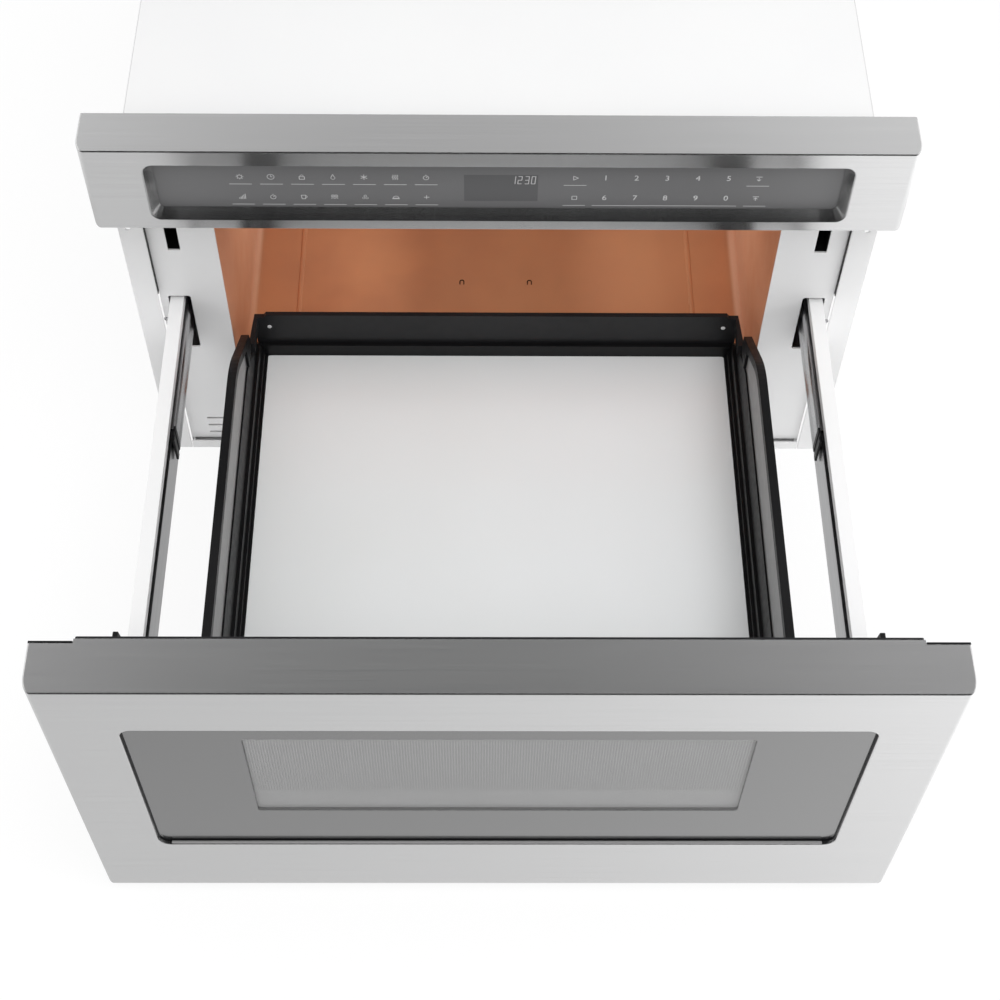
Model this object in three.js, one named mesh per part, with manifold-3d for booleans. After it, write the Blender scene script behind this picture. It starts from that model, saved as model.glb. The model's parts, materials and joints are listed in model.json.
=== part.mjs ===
// A built-in microwave drawer, standing open. Millimetres, +Z up, +Y to the back, +X to the right.
// The origin is the middle of the base's underside. Lengths "behind" are measured from the flange plane.

import * as THREE from 'three';
import { mergeVertices } from 'three/addons/utils/BufferGeometryUtils.js';
import Module from 'manifold-3d';

const wasm = await Module();
wasm.setup();

// ---------------------------------------------------------------- driving dimensions

const gap = 0.3; // between pieces that touch

// Body
const bodyWidth = 554;
const bodyDepth = 555;
const bodyHeight = 400;
const coverSheet = 1;
const frameSheet = 1.5;
const frameRecess = 4.5; // how far the front frame sits behind the flanges
const flangeWidth = 19.4;
const flangeGap = 0.7; // dark line between a flange and the front frame
const baseLip = 10; // height of the lip under the front frame
const baseUpturn = 24;
const flangeScrewRadius = 2.2;
const flangeScrewOut = 11.6; // from the body's side
const flangeScrewLow = 40;
const flangeScrewHigh = 295;
const harnessWidth = 60; // hole for the control panel's wiring
const harnessHeight = 24;
const harnessX = -150;

// Control panel and drawer front
const frontWidth = 606;
const frontDepth = 38.5;
const panelHeight = 80;
const drawerFrontHeight = 317;
const reveal = 3; // between the control panel and the drawer front
const frontLift = 18; // lower edge of the drawer front above the base
const skinSheet = 1.2;
const cornerAcross = 6.5; // vertical corners are quarter ellipses
const cornerDeep = 14;
const edgeRadius = 1.5;

// Control panel recess
const recessWidth = 514;
const recessHeight = 56;
const recessLift = 10; // above the panel's lower edge
const recessDepth = 9;
const recessBevelX = 5.5;
const recessBevelZ = 4.5;
const recessRadius = 8;
const glassThickness = 4;
const glassOverlap = 5; // how far a glass reaches behind its frame
const surroundHeight = 73; // solid band behind the recess, from 1 mm above the panel's lower edge
const surroundLift = 1;
const displayWidth = 76;
const displayHeight = 28;
const displayDepth = 6;
const boardThickness = 1.6;
const controlBoardWidth = 450;
const controlBoardHeight = 44;
const controlChips = [-153, 51, 178];
const chipWidth = 24;
const chipLength = 18;
const chipHeight = 5;

// Drawer front
const windowWidth = 500;
const windowHeight = 188;
const windowLift = 77; // above the drawer front's lower edge
const windowRadius = 9;
const windowRecess = 3;
const screenWidth = 342;
const screenHeight = 115;
const screenLift = 131;
const screenSheet = 0.8;
const screenMargin = 12;
const plateMargin = 29; // from the fronts' sides to the inner plate's
const plateInset = 6; // inner plate's lower edge above the skin's
const plateBehind = 3.7; // rear of the inner plate behind the flange plane
const plateDepth = 12;
const plateSheet = 1.5;
const tongueBehind = 1.2; // rear of the skin's top tongue
const trimThickness = 2.2;

// Cavity
const cavityWidth = 445;
const cavityHeight = 220;
const cavityDepth = 436;
const cavityFloor = 80;
const linerSheet = 1.2;
const cavityRadius = 8;
const lampSetback = 50; // cavity lamp, ahead of the rear wall
const lampDrop = 40; // and below the ceiling
const lampHoleRadius = 8;
const lampRadius = 6;
const lampSize = 30;
const lampDepth = 14;

// Rails: distances from the centre plane and heights above the base
const travel = 388;
const railInner = 257.2;
const channelWidth = 11.2;
const channelTop = 206;
const channelHeight = 52;
const channelLip = 8;
const railSheet = 1.3;
const slideLength = 432;
const middleLength = 350;
const middleSetback = 76; // front end of the middle member behind the flange plane, drawer shut
const memberInner = 255.6; // the drawer member's web
const memberTop = 190.4;
const memberHeight = 33.4;
const memberSheet = 1;
const memberGap = 0.8; // between one member and the next
const memberFold = 6;
const cabinetClearance = 2; // cabinet member's front end behind the middle one's, drawer shut
const stopLength = 14;
const stopLow = 170;
const stopHigh = 197;
const stopNotch = 4; // a groove across the stop
const stopNotchDepth = 0.8;
const stopNotchFrom = 5;
const slotMargin = 1.7; // around the rails in the front frame
const slotRise = 2.8;
const slotBelow = 12;
const slotRadius = 2;
const supportDepth = 424;
const supportDrop = 2; // top of the support below the channel's

// Latches
const latchX = 257;
const latchBottom = 268;
const latchHeight = 27;
const latchReach = 27;
const latchThickness = 3.6;
const latchShank = 12; // straight part of the hook's lower edge
const latchNeckHeight = 21.6;
const latchSlopeHeight = 12.2;
const latchTipHeight = 16.7;
const latchNose = 7;
const latchBarb = 10;
const latchSlotMargin = 3.2;
const latchSlotExtra = 14; // room behind the hook's tip
const interlockDepth = 60;
const interlockWall = 3;
const interlockHead = 10;

// Louvres at the lower left of the front frame
const louvreCount = 3;
const louvrePitch = 10.5;
const louvreHeight = 2.4;
const louvreLift = 12.5;
const louvreFrom = 120;
const louvreTo = 259;

// Tray
const trayFloorTop = 116;
const trayFloorHalf = 197.6;
const trayFloorGlass = 5;
const trayDepth = 400; // length of the glass floor
const trayRimTop = 219;
const trayRimWidth = 6.8;
const trayRimHalf = 212.9;
const trayRimHeight = 8;
const traySheet = 1.5;
const trayFrameTop = 158;
const trayFrameBase = 7;
const trayLedge = 7.5; // how far the frame reaches under the glass
const trayLip = 1; // how far the frame stands above the glass
const frameEdge = 1.2; // top edge of the frame's wall
const frameLean = 2.6; // how much the wall thickens down to the upper step
const upperStepHeight = 20; // above the glass
const upperStepWidth = 2.3;
const lowerStepHeight = 8;
const lowerStepWidth = 2.4;
const frameKnee = 22; // from here to the tray's rear the frame's top falls faster
const frameRearDrop = 12; // it lies this much lower there
const frameFall = 40; // over this length
const trayPanHeight = 10;
const trayPanInset = 2;
const rimSetback = 33; // the rim's rear end ahead of the tray's
const rimLegDepth = 20; // at the rear end the rim reaches down the side plate
const rimLegLow = 157;
const rimCover = 2; // the rim's top above the side plate
const rimSlope = 34; // degrees, towards the rear
const rimBend = 60; // radius where the slope starts
const rimSlopeRun = 84; // length of the sloping part, bend included
const rearWallTop = 165;
const rearWallSheet = 4.2;
const rearStep = 3.4;
const rearStepTop = 129;
const rearHoleX = 193.5;
const rearHoleDrop = 14.8;
const rearHoleRadius = 1.8;
const rearWallInset = 3;
const rearCornerWidth = 10; // the wall's top corners step down
const rearCornerDrop = 3;
const rearCornerBevel = 2;
const rearCornerHeight = 12;
const rearWing = 2.5; // thickness of the wall's forward returns
const rearWingLow = 150.5;
const rearWingFlare = 2.5; // the returns spread outwards to the rim's rear end

// Drive
const gearModule = 1.8;
const pinionTeeth = 18;
const pinionWidth = 12;
const pinionBehind = 60;
const pressureAngle = 20; // degrees
const rootDepth = 1.25; // gear modules
const backlash = 0.5;
const rackLine = 50; // pitch line above the base
const rackBody = 5;
const rackSpare = 14; // rack beyond the pinion at each end of the travel
const beamHeight = 10;
const beamWidth = 20;
const beamRoom = 4; // around the rack and its beam in the front frame
const shaftRadius = 3;
const axleFront = 4; // pinion's axle beyond its free side
const axleRear = 12; // and into the gearbox
const gearboxClearance = 2;
const gearboxWidth = 34;
const gearboxSize = 44;
const gearboxWall = 4;
const motorRadius = 14;
const motorDrop = 3; // motor's axis below the pinion's
const motorLength = 56;

// Microwave feed, over the cavity
const feedHole = 200;
const feedHeight = 34;
const feedMargin = 12; // chamber beyond the hole
const ductWidth = 92;
const ductSpare = 4; // duct beyond the magnetron
const stirrerRadius = 84;
const stirrerBlade = 30;
const stirrerSheet = 2;
const stirrerHub = 9;
const stirrerHubHeight = 10;
const stirrerShaft = 10; // shaft above the chamber
const stirrerMotorRadius = 24;
const stirrerMotorHeight = 22;
const stirrerEarWidth = 72;
const stirrerEarDepth = 10;
const stirrerCoverLip = 8;
const stirrerCoverSheet = 2;

// Rear compartment
const magnetronWidth = 84;
const magnetronDepth = 74;
const magnetronHeight = 100;
const magnetronSetback = 8;
const antennaRadius = 7;
const antennaHeight = 20.4;
const finCount = 6;
const finPitch = 10;
const finSlit = 8;
const finLow = 20;
const finCore = 42; // solid width between the slits
const roomSetback = 12; // between the cavity and the parts behind it
const transformerX = -189;
const transformerWidth = 96;
const transformerDepth = 62;
const transformerHeight = 82;
const coreDepth = 34;
const windingWidth = 67;
const windingLow = 18;
const windingHeight = 41;
const windingRadius = 10;
const footWidth = 112;
const footDepth = 31;
const footSheet = 2;
const capacitorX = -75;
const capacitorWidth = 52;
const capacitorDepth = 34;
const capacitorHeight = 96;
const tabWidth = 6;
const tabSheet = 2;
const tabHeight = 12;
const tabX = 11.5;
const fanX = 195;
const fanZ = 210;
const fanSize = 104;
const fanHole = 46;
const fanDepth = 26;
const fanSetback = 4; // from the rear cover
const fanStrut = 8;
const fanStrutSheet = 3;
const fanBlades = 5;
const fanHub = 18;
const bladeSheet = 2;
const bladeChord = 23.4;
const bladeTip = 2; // from the shroud
const fanShaft = 8;
const fanMotorRadius = 20;
const fanMotorLength = 30;
const ventSlots = 9;
const ventPitch = 10;
const ventHeight = 3;
const inletX = -227;
const inletZ = 340;
const inletRadius = 11;
const inletHead = 4;
const inletBore = 5;
const inletLength = 22;
const powerBoardWidth = 84;
const powerBoardLength = 180;
const powerBoardSetback = 60;
const powerBoardInset = 4;
const standoff = 12;
const standoffRadius = 3;
const standoffInset = 8;
const powerBoardParts = [
  { width: 30, depth: 50, height: 24, x: -15, y: 45 },
  { width: 20, depth: 20, height: 18, x: 25, y: 30 },
  { width: 34, depth: 40, height: 30, x: 10, y: 120 },
];

// ---------------------------------------------------------------- places worked out from them

const flangeY = -bodyDepth / 2;
const behind = (distance) => flangeY + distance;
const rearY = bodyDepth / 2;
const faceY = flangeY - gap - frontDepth;
const frameFront = frameRecess;
const frameBack = frameRecess + frameSheet;
const linerFront = frameBack + gap;
const cavityBack = linerFront + cavityDepth;
const cavityTop = cavityFloor + cavityHeight;
const panelBottom = frontLift + drawerFrontHeight + reveal;
const panelTop = panelBottom + panelHeight;
const drawerFrontTop = frontLift + drawerFrontHeight;
const halfFront = frontWidth / 2;
const plateHalfWidth = halfFront - plateMargin;
const halfBody = bodyWidth / 2;
const halfCavity = cavityWidth / 2;
const recessBottom = panelBottom + recessLift;
const recessTop = recessBottom + recessHeight;
const windowBottom = frontLift + windowLift;
const windowTop = windowBottom + windowHeight;
const screenBottom = frontLift + screenLift;
const railOuter = railInner + channelWidth;
const memberStep = memberSheet + memberGap;
const cabinetInner = memberInner - 2 * memberStep;
const stopInner = cabinetInner + memberSheet + gap;
const supportFront = frameBack + gap;
const supportRear = supportFront + supportDepth;
const cabinetFront = middleSetback + cabinetClearance;
const drawerRailFront = plateBehind + gap;
const trayFront = plateBehind + gap;
const trayFloorEnd = trayFront + trayDepth;
const pinionRadius = (gearModule * pinionTeeth) / 2;
const pinionZ = rackLine - pinionRadius;
const rackTip = rackLine - gearModule;
const rackRoot = rackLine + rootDepth * gearModule;
const rackFront = pinionBehind - rackSpare;
const rackRear = pinionBehind + travel + rackSpare;
const beamLow = rackRoot + rackBody + gap;
const lampY = cavityBack - lampSetback;
const lampZ = cavityTop - lampDrop;
const feedY = linerFront + cavityDepth / 2;
const ceilingTop = cavityTop + linerSheet + gap;
const feedTop = ceilingTop + feedHeight;
const magnetronY = cavityBack + linerSheet + magnetronSetback + magnetronDepth / 2;
const ductEnd = magnetronY + magnetronDepth / 2 + ductSpare;
const stirrerZ = ceilingTop + (feedHeight - stirrerHubHeight) / 2 + 1;
const roomFront = cavityBack + linerSheet + roomSetback;
const shelf = frameSheet + gap;
const coverRear = bodyDepth - coverSheet;
const fanRear = coverRear - fanSetback;
const fanFront = fanRear - fanDepth;
const skinRear = -gap - trimThickness;
const drawerGlassFront = faceY + windowRecess + gap;
const plateFront = plateBehind - plateDepth;
const controlGlassFront = faceY + recessDepth + gap;
const displayFront = controlGlassFront + glassThickness + gap;
const panelMiddle = (recessBottom + recessTop) / 2;
const rimPlateOuter = trayRimHalf - (trayRimWidth - traySheet) / 2;
const rimPlateInner = rimPlateOuter - traySheet;
const frameOuter = rimPlateInner - gap;
const glassLow = trayFloorTop - trayFloorGlass;
const frameLow = glassLow - gap - trayFrameBase;
const frameRear = trayFloorEnd + gap + rearStep;
const trayRear = frameRear + gap + rearWallSheet;
const rimEnd = trayRear - rimSetback;
const rimBendStart = rimEnd - rimSlopeRun;

// ---------------------------------------------------------------- solids

// A closed three.js geometry as a solid that can be cut and joined.
function solid(geometry) {
  geometry.deleteAttribute('normal');
  geometry.deleteAttribute('uv');
  const merged = mergeVertices(geometry, 1e-4);
  const vertProperties = Float32Array.from(merged.attributes.position.array);
  const triVerts = Uint32Array.from(merged.index.array);
  return new wasm.Manifold(new wasm.Mesh({ numProp: 3, vertProperties, triVerts }));
}

const join = (first, ...others) => others.reduce((sum, other) => sum.add(other), first);
const cut = (first, ...others) => others.reduce((rest, other) => rest.subtract(other), first);

// A box from its three spans.
function block([x0, x1], [y0, y1], [z0, z1]) {
  const geometry = new THREE.BoxGeometry(x1 - x0, y1 - y0, z1 - z0);
  geometry.translate((x0 + x1) / 2, (y0 + y1) / 2, (z0 + z1) / 2);
  return solid(geometry);
}

const X = new THREE.Vector3(1, 0, 0);
const Y = new THREE.Vector3(0, 1, 0);
const Z = new THREE.Vector3(0, 0, 1);
const frames = {
  x: new THREE.Matrix4().makeBasis(Y, Z, X), // the outline lies in Y and Z
  y: new THREE.Matrix4().makeBasis(X, Z, Y.clone().negate()), // in X and Z
  z: new THREE.Matrix4(), // in X and Y
};

// An outline drawn across an axis and stretched along it.
function prism(axis, shape, [from, to], steps = 3) {
  const options = { depth: to - from, bevelEnabled: false, curveSegments: steps };
  const geometry = new THREE.ExtrudeGeometry(shape, options);
  geometry.translate(0, 0, axis === 'y' ? -to : from);
  geometry.applyMatrix4(frames[axis]);
  return solid(geometry);
}

function polygon(points) {
  return new THREE.Shape(points.map(([u, v]) => new THREE.Vector2(u, v)));
}

function roundedBox([u0, u1], [v0, v1], radius) {
  const shape = new THREE.Shape();
  shape.absarc(u1 - radius, v1 - radius, radius, 0, Math.PI / 2);
  shape.absarc(u0 + radius, v1 - radius, radius, Math.PI / 2, Math.PI);
  shape.absarc(u0 + radius, v0 + radius, radius, Math.PI, 1.5 * Math.PI);
  shape.absarc(u1 - radius, v0 + radius, radius, 1.5 * Math.PI, 2 * Math.PI);
  return shape;
}

function disc(u, v, radius) {
  return new THREE.Shape().absarc(u, v, radius, 0, 2 * Math.PI);
}

const round = (axis, u, v, radius, span, steps = 10) => prism(axis, disc(u, v, radius), span, steps);
const middle = (width, centre = 0) => [centre - width / 2, centre + width / 2];
const side = (sign, inner, outer) => (sign > 0 ? [inner, outer] : [-outer, -inner]);
const spanBehind = (from, to) => [behind(from), behind(to)];

// An outline across Y whose sides slope from the front face to a smaller outline behind it.
function taperedRecess([x0, x1], [z0, z1], radius, depth, insetX, insetZ) {
  const shape = roundedBox([x0, x1], [z0, z1], radius);
  const geometry = new THREE.ExtrudeGeometry(shape, { depth, bevelEnabled: false, curveSegments: 3 });
  geometry.translate(0, 0, -depth);
  const centreX = (x0 + x1) / 2;
  const centreZ = (z0 + z1) / 2;
  const position = geometry.attributes.position;
  for (let i = 0; i < position.count; i += 1) {
    if (position.getZ(i) < -depth / 2) {
      position.setX(i, centreX + (position.getX(i) - centreX) * (1 - (2 * insetX) / (x1 - x0)));
      position.setY(i, centreZ + (position.getY(i) - centreZ) * (1 - (2 * insetZ) / (z1 - z0)));
    }
  }
  geometry.applyMatrix4(frames.y);
  geometry.translate(0, faceY, 0);
  return solid(geometry);
}

// ---------------------------------------------------------------- the scene

const finishes = {
  stainless: { color: 0xb9bbbd, roughness: 0.35, metalness: 1 },
  steel: { color: 0x9a9c9e, roughness: 0.4, metalness: 1 },
  whitePaint: { color: 0xe4e4e4, roughness: 0.5, metalness: 0.1 },
  copper: { color: 0xb07a55, roughness: 0.35, metalness: 0.8 },
  blackPlastic: { color: 0x151515, roughness: 0.55, metalness: 0 },
  darkGlass: { color: 0x2a2a2d, roughness: 0.1, metalness: 0 },
  whiteGlass: { color: 0xe6e8e8, roughness: 0.15, metalness: 0 },
  greyPaint: { color: 0x6b6b6b, roughness: 0.4, metalness: 0.3 },
  board: { color: 0x2c5a34, roughness: 0.6, metalness: 0 },
  mica: { color: 0xb9a98a, roughness: 0.8, metalness: 0 },
};

const drawer = new THREE.Group();
drawer.position.y = -travel;
const slidesMiddle = new THREE.Group();
slidesMiddle.position.y = -travel / 2;
const appliance = new THREE.Group();
appliance.add(drawer, slidesMiddle);

function piece(parent, name, finish, shape) {
  const mesh = shape.getMesh();
  const geometry = new THREE.BufferGeometry();
  geometry.setAttribute('position', new THREE.BufferAttribute(mesh.vertProperties, 3));
  geometry.setIndex(new THREE.BufferAttribute(mesh.triVerts, 1));
  geometry.computeVertexNormals();
  const item = new THREE.Mesh(geometry, new THREE.MeshStandardMaterial(finishes[finish]));
  item.name = name;
  parent.add(item);
}

// Makes the left and the right one of a pair.
function pair(parent, name, finish, make) {
  piece(parent, `${name}_left`, finish, make(-1));
  piece(parent, `${name}_right`, finish, make(1));
}

// ---------------------------------------------------------------- body

function railSlot(sign) {
  const across = side(sign, stopInner - slotMargin, railOuter + slotMargin);
  const up = [channelTop - channelHeight - slotBelow, channelTop + slotRise];
  return prism('y', roundedBox(across, up, slotRadius), spanBehind(0, frameBack + 1));
}

function latchSlot(sign) {
  const half = latchThickness / 2 + latchSlotMargin;
  const across = side(sign, latchX - half, latchX + half);
  const up = [latchBottom - latchSlotMargin, latchBottom + latchHeight + latchSlotMargin];
  return block(across, spanBehind(0, frameBack + 1), up);
}

function frontFrame() {
  const half = halfBody - flangeGap;
  const sheet = block([-half, half], spanBehind(frameFront, frameBack), [baseLip, bodyHeight]);
  const mouth = roundedBox(middle(cavityWidth), [cavityFloor, cavityTop], cavityRadius);
  const through = spanBehind(0, frameBack + 1);
  const rackSlot = [rackTip - beamRoom, beamLow + beamHeight + beamRoom];
  const cuts = [
    prism('y', mouth, through),
    block(middle(beamWidth + 2 * beamRoom), through, rackSlot),
    block(middle(harnessWidth, harnessX), through, middle(harnessHeight, panelMiddle)),
  ];
  [-1, 1].forEach((sign) => cuts.push(railSlot(sign), latchSlot(sign)));
  for (let i = 0; i < louvreCount; i += 1) {
    const z = baseLip + louvreLift + i * louvrePitch - louvrePitch / 2;
    cuts.push(block([-louvreTo, -louvreFrom], through, [z, z + louvreHeight]));
  }
  return cut(sheet, ...cuts);
}

function flange(sign) {
  const across = side(sign, halfBody, halfBody + flangeWidth);
  const strip = block(across, spanBehind(0, frameSheet), [0, bodyHeight]);
  const holeX = sign * (halfBody + flangeScrewOut);
  const through = spanBehind(-1, frameSheet + 1);
  const holes = [flangeScrewLow, flangeScrewHigh].map((z) => (
    round('y', holeX, z, flangeScrewRadius, through, 6)
  ));
  return cut(strip, ...holes);
}

function basePan() {
  const inner = halfBody - coverSheet - gap;
  const full = [-halfBody + flangeGap, halfBody - flangeGap];
  const deep = spanBehind(frameBack + gap, coverRear - gap);
  const floor = block([-inner, inner], deep, [0, frameSheet]);
  const lip = block(full, spanBehind(0, frameSheet), [0, baseLip - gap]);
  const foot = block(full, spanBehind(0, frameBack + 1), [0, frameSheet]);
  const turned = [-1, 1].map((sign) => block(side(sign, inner - frameSheet, inner), deep, [0, baseUpturn]));
  return join(floor, lip, foot, ...turned);
}

function wrapCover() {
  const deep = spanBehind(frameBack + gap, coverRear - gap);
  const outer = block([-halfBody, halfBody], deep, [shelf, bodyHeight]);
  const inner = halfBody - coverSheet;
  const room = block([-inner, inner], spanBehind(-1, bodyDepth + 1), [-1, bodyHeight - coverSheet]);
  return cut(outer, room);
}

function rearCover() {
  const sheet = block([-halfBody, halfBody], spanBehind(coverRear, bodyDepth), [shelf, bodyHeight]);
  const through = spanBehind(coverRear - 1, bodyDepth + 1);
  const cuts = [round('y', inletX, inletZ, inletRadius + gap, through)];
  for (let i = 0; i < ventSlots; i += 1) {
    const z = fanZ + (i - (ventSlots - 1) / 2) * ventPitch;
    cuts.push(block(middle(fanHole * 2, fanX), through, [z - ventHeight / 2, z + ventHeight / 2]));
    cuts.push(block(middle(fanHole * 2, -fanX), through, [z - ventHeight / 2, z + ventHeight / 2]));
  }
  return cut(sheet, ...cuts);
}

function cavityLiner() {
  const wall = linerSheet;
  const deep = spanBehind(linerFront, cavityBack + wall);
  const around = [cavityFloor - wall, cavityTop + wall];
  const shell = prism('y', roundedBox(middle(cavityWidth + 2 * wall), around, cavityRadius + wall), deep);
  const room = roundedBox(middle(cavityWidth), [cavityFloor, cavityTop], cavityRadius);
  const hollow = prism('y', room, spanBehind(0, cavityBack));
  const feed = block(middle(feedHole), middle(feedHole, behind(feedY)), middle(20, cavityTop));
  const lampHole = round('x', behind(lampY), lampZ, lampHoleRadius, middle(cavityRadius, halfCavity));
  return cut(shell, hollow, feed, lampHole);
}

// A channel open towards the cavity; its web carries the cabinet member.
function slideSupport(sign) {
  const wall = halfCavity + linerSheet + gap;
  const outer = cabinetInner - gap;
  const low = channelTop - channelHeight;
  const high = channelTop - supportDrop;
  const beam = block(side(sign, wall, outer), spanBehind(supportFront, supportRear), [low, high]);
  const inside = side(sign, wall - 1, outer - railSheet);
  const room = block(inside, spanBehind(0, bodyDepth), [low + railSheet, high - railSheet]);
  return cut(beam, room);
}

// Slide members: three channels open away from the cavity, one around the other.
function slideMember(sign, nest, outer, [front, rear]) {
  const inner = memberInner - nest * memberStep;
  const low = memberTop - memberHeight - nest * memberStep;
  const high = memberTop + nest * memberStep;
  const bar = block(side(sign, inner, outer), spanBehind(front, rear), [low, high]);
  const hollow = block(
    side(sign, inner + memberSheet, outer + 1),
    spanBehind(front - 1, rear + 1),
    [low + memberSheet, high - memberSheet],
  );
  return cut(bar, hollow);
}

const cabinetMember = (sign) => (
  slideMember(sign, 2, cabinetInner + memberFold + memberStep, [cabinetFront, supportRear])
);

function interlock(sign) {
  const half = latchThickness / 2 + latchSlotMargin;
  const deep = spanBehind(frameBack + gap, frameBack + gap + interlockDepth);
  const across = side(sign, latchX - half - interlockWall, latchX + half + interlockWall);
  const low = latchBottom - latchSlotMargin;
  const high = latchBottom + latchHeight + latchSlotMargin;
  const box = block(across, deep, [low - interlockWall, high + interlockWall + interlockHead]);
  const slot = side(sign, latchX - half, latchX + half);
  return cut(box, block(slot, spanBehind(0, frameBack + latchReach + latchSlotExtra), [low, high]));
}

// ---------------------------------------------------------------- microwave feed

// A square chamber over the cavity with a duct back to the magnetron.
function feedSpace(wall, up) {
  const size = feedHole + 2 * (feedMargin - wall);
  return join(
    block(middle(size), middle(size, behind(feedY)), up),
    block(middle(ductWidth - 2 * wall), spanBehind(feedY, ductEnd - wall), up),
  );
}

function waveguide() {
  const outer = feedSpace(0, [ceilingTop, feedTop]);
  const inner = feedSpace(linerSheet, [ceilingTop + linerSheet, feedTop - linerSheet]);
  const low = middle(4 * linerSheet, ceilingTop);
  const high = middle(4 * linerSheet, feedTop);
  const mouth = block(middle(feedHole), middle(feedHole, behind(feedY)), low);
  const antenna = round('z', 0, behind(magnetronY), antennaRadius + 2, low);
  const shaft = round('z', 0, behind(feedY), shaftRadius + 1, high);
  return cut(outer, inner, mouth, antenna, shaft);
}

function stirrerCover() {
  const plate = feedHole + 2 * stirrerCoverLip;
  const plug = feedHole - 2;
  const top = cavityTop - gap;
  const low = top - stirrerCoverSheet;
  return join(
    block(middle(plate), middle(plate, behind(feedY)), [low, top]),
    block(middle(plug), middle(plug, behind(feedY)), [low, ceilingTop]),
  );
}

function stirrerFan() {
  const place = [0, behind(feedY)];
  const hub = round('z', ...place, stirrerHub, [stirrerZ, stirrerZ + stirrerHubHeight]);
  const shaft = round('z', ...place, shaftRadius, [stirrerZ, feedTop + stirrerShaft]);
  const up = [stirrerZ + stirrerSheet, stirrerZ + 2 * stirrerSheet];
  const long = middle(2 * stirrerRadius);
  const wide = middle(stirrerBlade);
  const [x, y] = place;
  const along = block(long, wide.map((v) => v + y), up);
  const across = block(wide.map((v) => v + x), long.map((v) => v + y), up);
  return join(hub, shaft, along, across);
}

function stirrerMotor() {
  const low = feedTop + gap;
  const can = round('z', 0, behind(feedY), stirrerMotorRadius, [low, low + stirrerMotorHeight], 12);
  const earDeep = middle(stirrerEarDepth, behind(feedY));
  const ears = block(middle(stirrerEarWidth), earDeep, [low, low + frameSheet]);
  const bore = round('z', 0, behind(feedY), shaftRadius + gap, [low - 1, feedTop + stirrerShaft + gap]);
  return cut(join(can, ears), bore);
}

function magnetron() {
  const across = middle(magnetronWidth);
  const deep = middle(magnetronDepth, behind(magnetronY));
  const top = ceilingTop - gap;
  const low = top - magnetronHeight;
  const yoke = block(across, deep, [low, top]);
  const through = middle(magnetronDepth + 2, behind(magnetronY));
  const cuts = [];
  for (let i = 0; i < finCount; i += 1) {
    const z = low + finLow + i * finPitch;
    [-1, 1].forEach((sign) => {
      const slit = side(sign, finCore / 2, magnetronWidth / 2 - frameSheet);
      cuts.push(block(slit, through, [z, z + finSlit]));
    });
  }
  const up = [top - 1, ceilingTop + antennaHeight];
  return join(cut(yoke, ...cuts), round('z', 0, behind(magnetronY), antennaRadius, up, 6));
}

// ---------------------------------------------------------------- rear compartment

function transformer() {
  const y = behind(roomFront + transformerDepth / 2);
  const core = block(
    middle(transformerWidth, transformerX),
    middle(coreDepth, y),
    [shelf, shelf + transformerHeight],
  );
  const winding = roundedBox(middle(windingWidth, transformerX), middle(transformerDepth, y), windingRadius);
  const low = shelf + windingLow;
  const feet = block(middle(footWidth, transformerX), middle(footDepth, y), [shelf, shelf + footSheet]);
  return join(core, prism('z', winding, [low, low + windingHeight]), feet);
}

function capacitor() {
  const y = behind(roomFront + capacitorDepth / 2);
  const can = roundedBox(
    middle(capacitorWidth, capacitorX),
    middle(capacitorDepth, y),
    capacitorDepth / 2 - 1,
  );
  const top = shelf + capacitorHeight;
  const tabs = [-1, 1].map((sign) => (
    block(middle(tabWidth, capacitorX + sign * tabX), middle(tabSheet, y), [top - 1, top + tabHeight])
  ));
  return join(prism('z', can, [shelf, top]), ...tabs);
}

function fanShroud() {
  const deep = spanBehind(fanFront, fanRear);
  const box = prism('y', roundedBox(middle(fanSize, fanX), middle(fanSize, fanZ), 6), deep);
  const hole = round('y', fanX, fanZ, fanHole, spanBehind(fanFront - 1, fanRear + 1), 12);
  const strutDeep = spanBehind(fanFront, fanFront + fanStrutSheet);
  const struts = join(
    block(middle(fanSize - fanStrut, fanX), strutDeep, middle(fanStrut, fanZ)),
    block(middle(fanStrut, fanX), strutDeep, middle(fanSize - fanStrut, fanZ)),
  );
  const shaftHole = round('y', fanX, fanZ, shaftRadius + gap, spanBehind(fanFront - 1, fanFront + fanDepth));
  return cut(join(cut(box, hole), struts), shaftHole);
}

function coolingFan() {
  const front = fanFront + fanStrutSheet;
  const hub = round('y', fanX, fanZ, fanHub, spanBehind(front + fanStrutSheet, fanRear - fanStrutSheet), 12);
  const shaft = round('y', fanX, fanZ, shaftRadius, spanBehind(fanFront - fanShaft, fanFront + fanDepth / 2));
  const blades = [];
  const root = fanHub / 2;
  const length = fanHole - bladeTip - root;
  for (let i = 0; i < fanBlades; i += 1) {
    const geometry = new THREE.BoxGeometry(length, bladeSheet, bladeChord);
    geometry.rotateX(Math.PI / 4);
    geometry.translate(root + length / 2 - 1, 0, 0);
    geometry.rotateY((i / fanBlades) * 2 * Math.PI);
    geometry.translate(fanX, behind((front + fanRear) / 2), fanZ);
    blades.push(solid(geometry));
  }
  return join(hub, shaft, ...blades);
}

function fanMotor() {
  const rear = fanFront - gap;
  const can = round('y', fanX, fanZ, fanMotorRadius, spanBehind(rear - fanMotorLength, rear), 12);
  return cut(can, round('y', fanX, fanZ, shaftRadius + gap, spanBehind(rear - fanShaft - gap, rear + 1)));
}

function cordInlet() {
  const head = coverRear - gap;
  const inside = round('y', inletX, inletZ, inletRadius + inletHead, spanBehind(head - inletHead, head));
  const stem = round('y', inletX, inletZ, inletRadius, spanBehind(bodyDepth - inletLength, bodyDepth));
  const bore = round('y', inletX, inletZ, inletBore, spanBehind(bodyDepth - inletLength - 1, bodyDepth + 1));
  return cut(join(inside, stem), bore);
}

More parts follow.
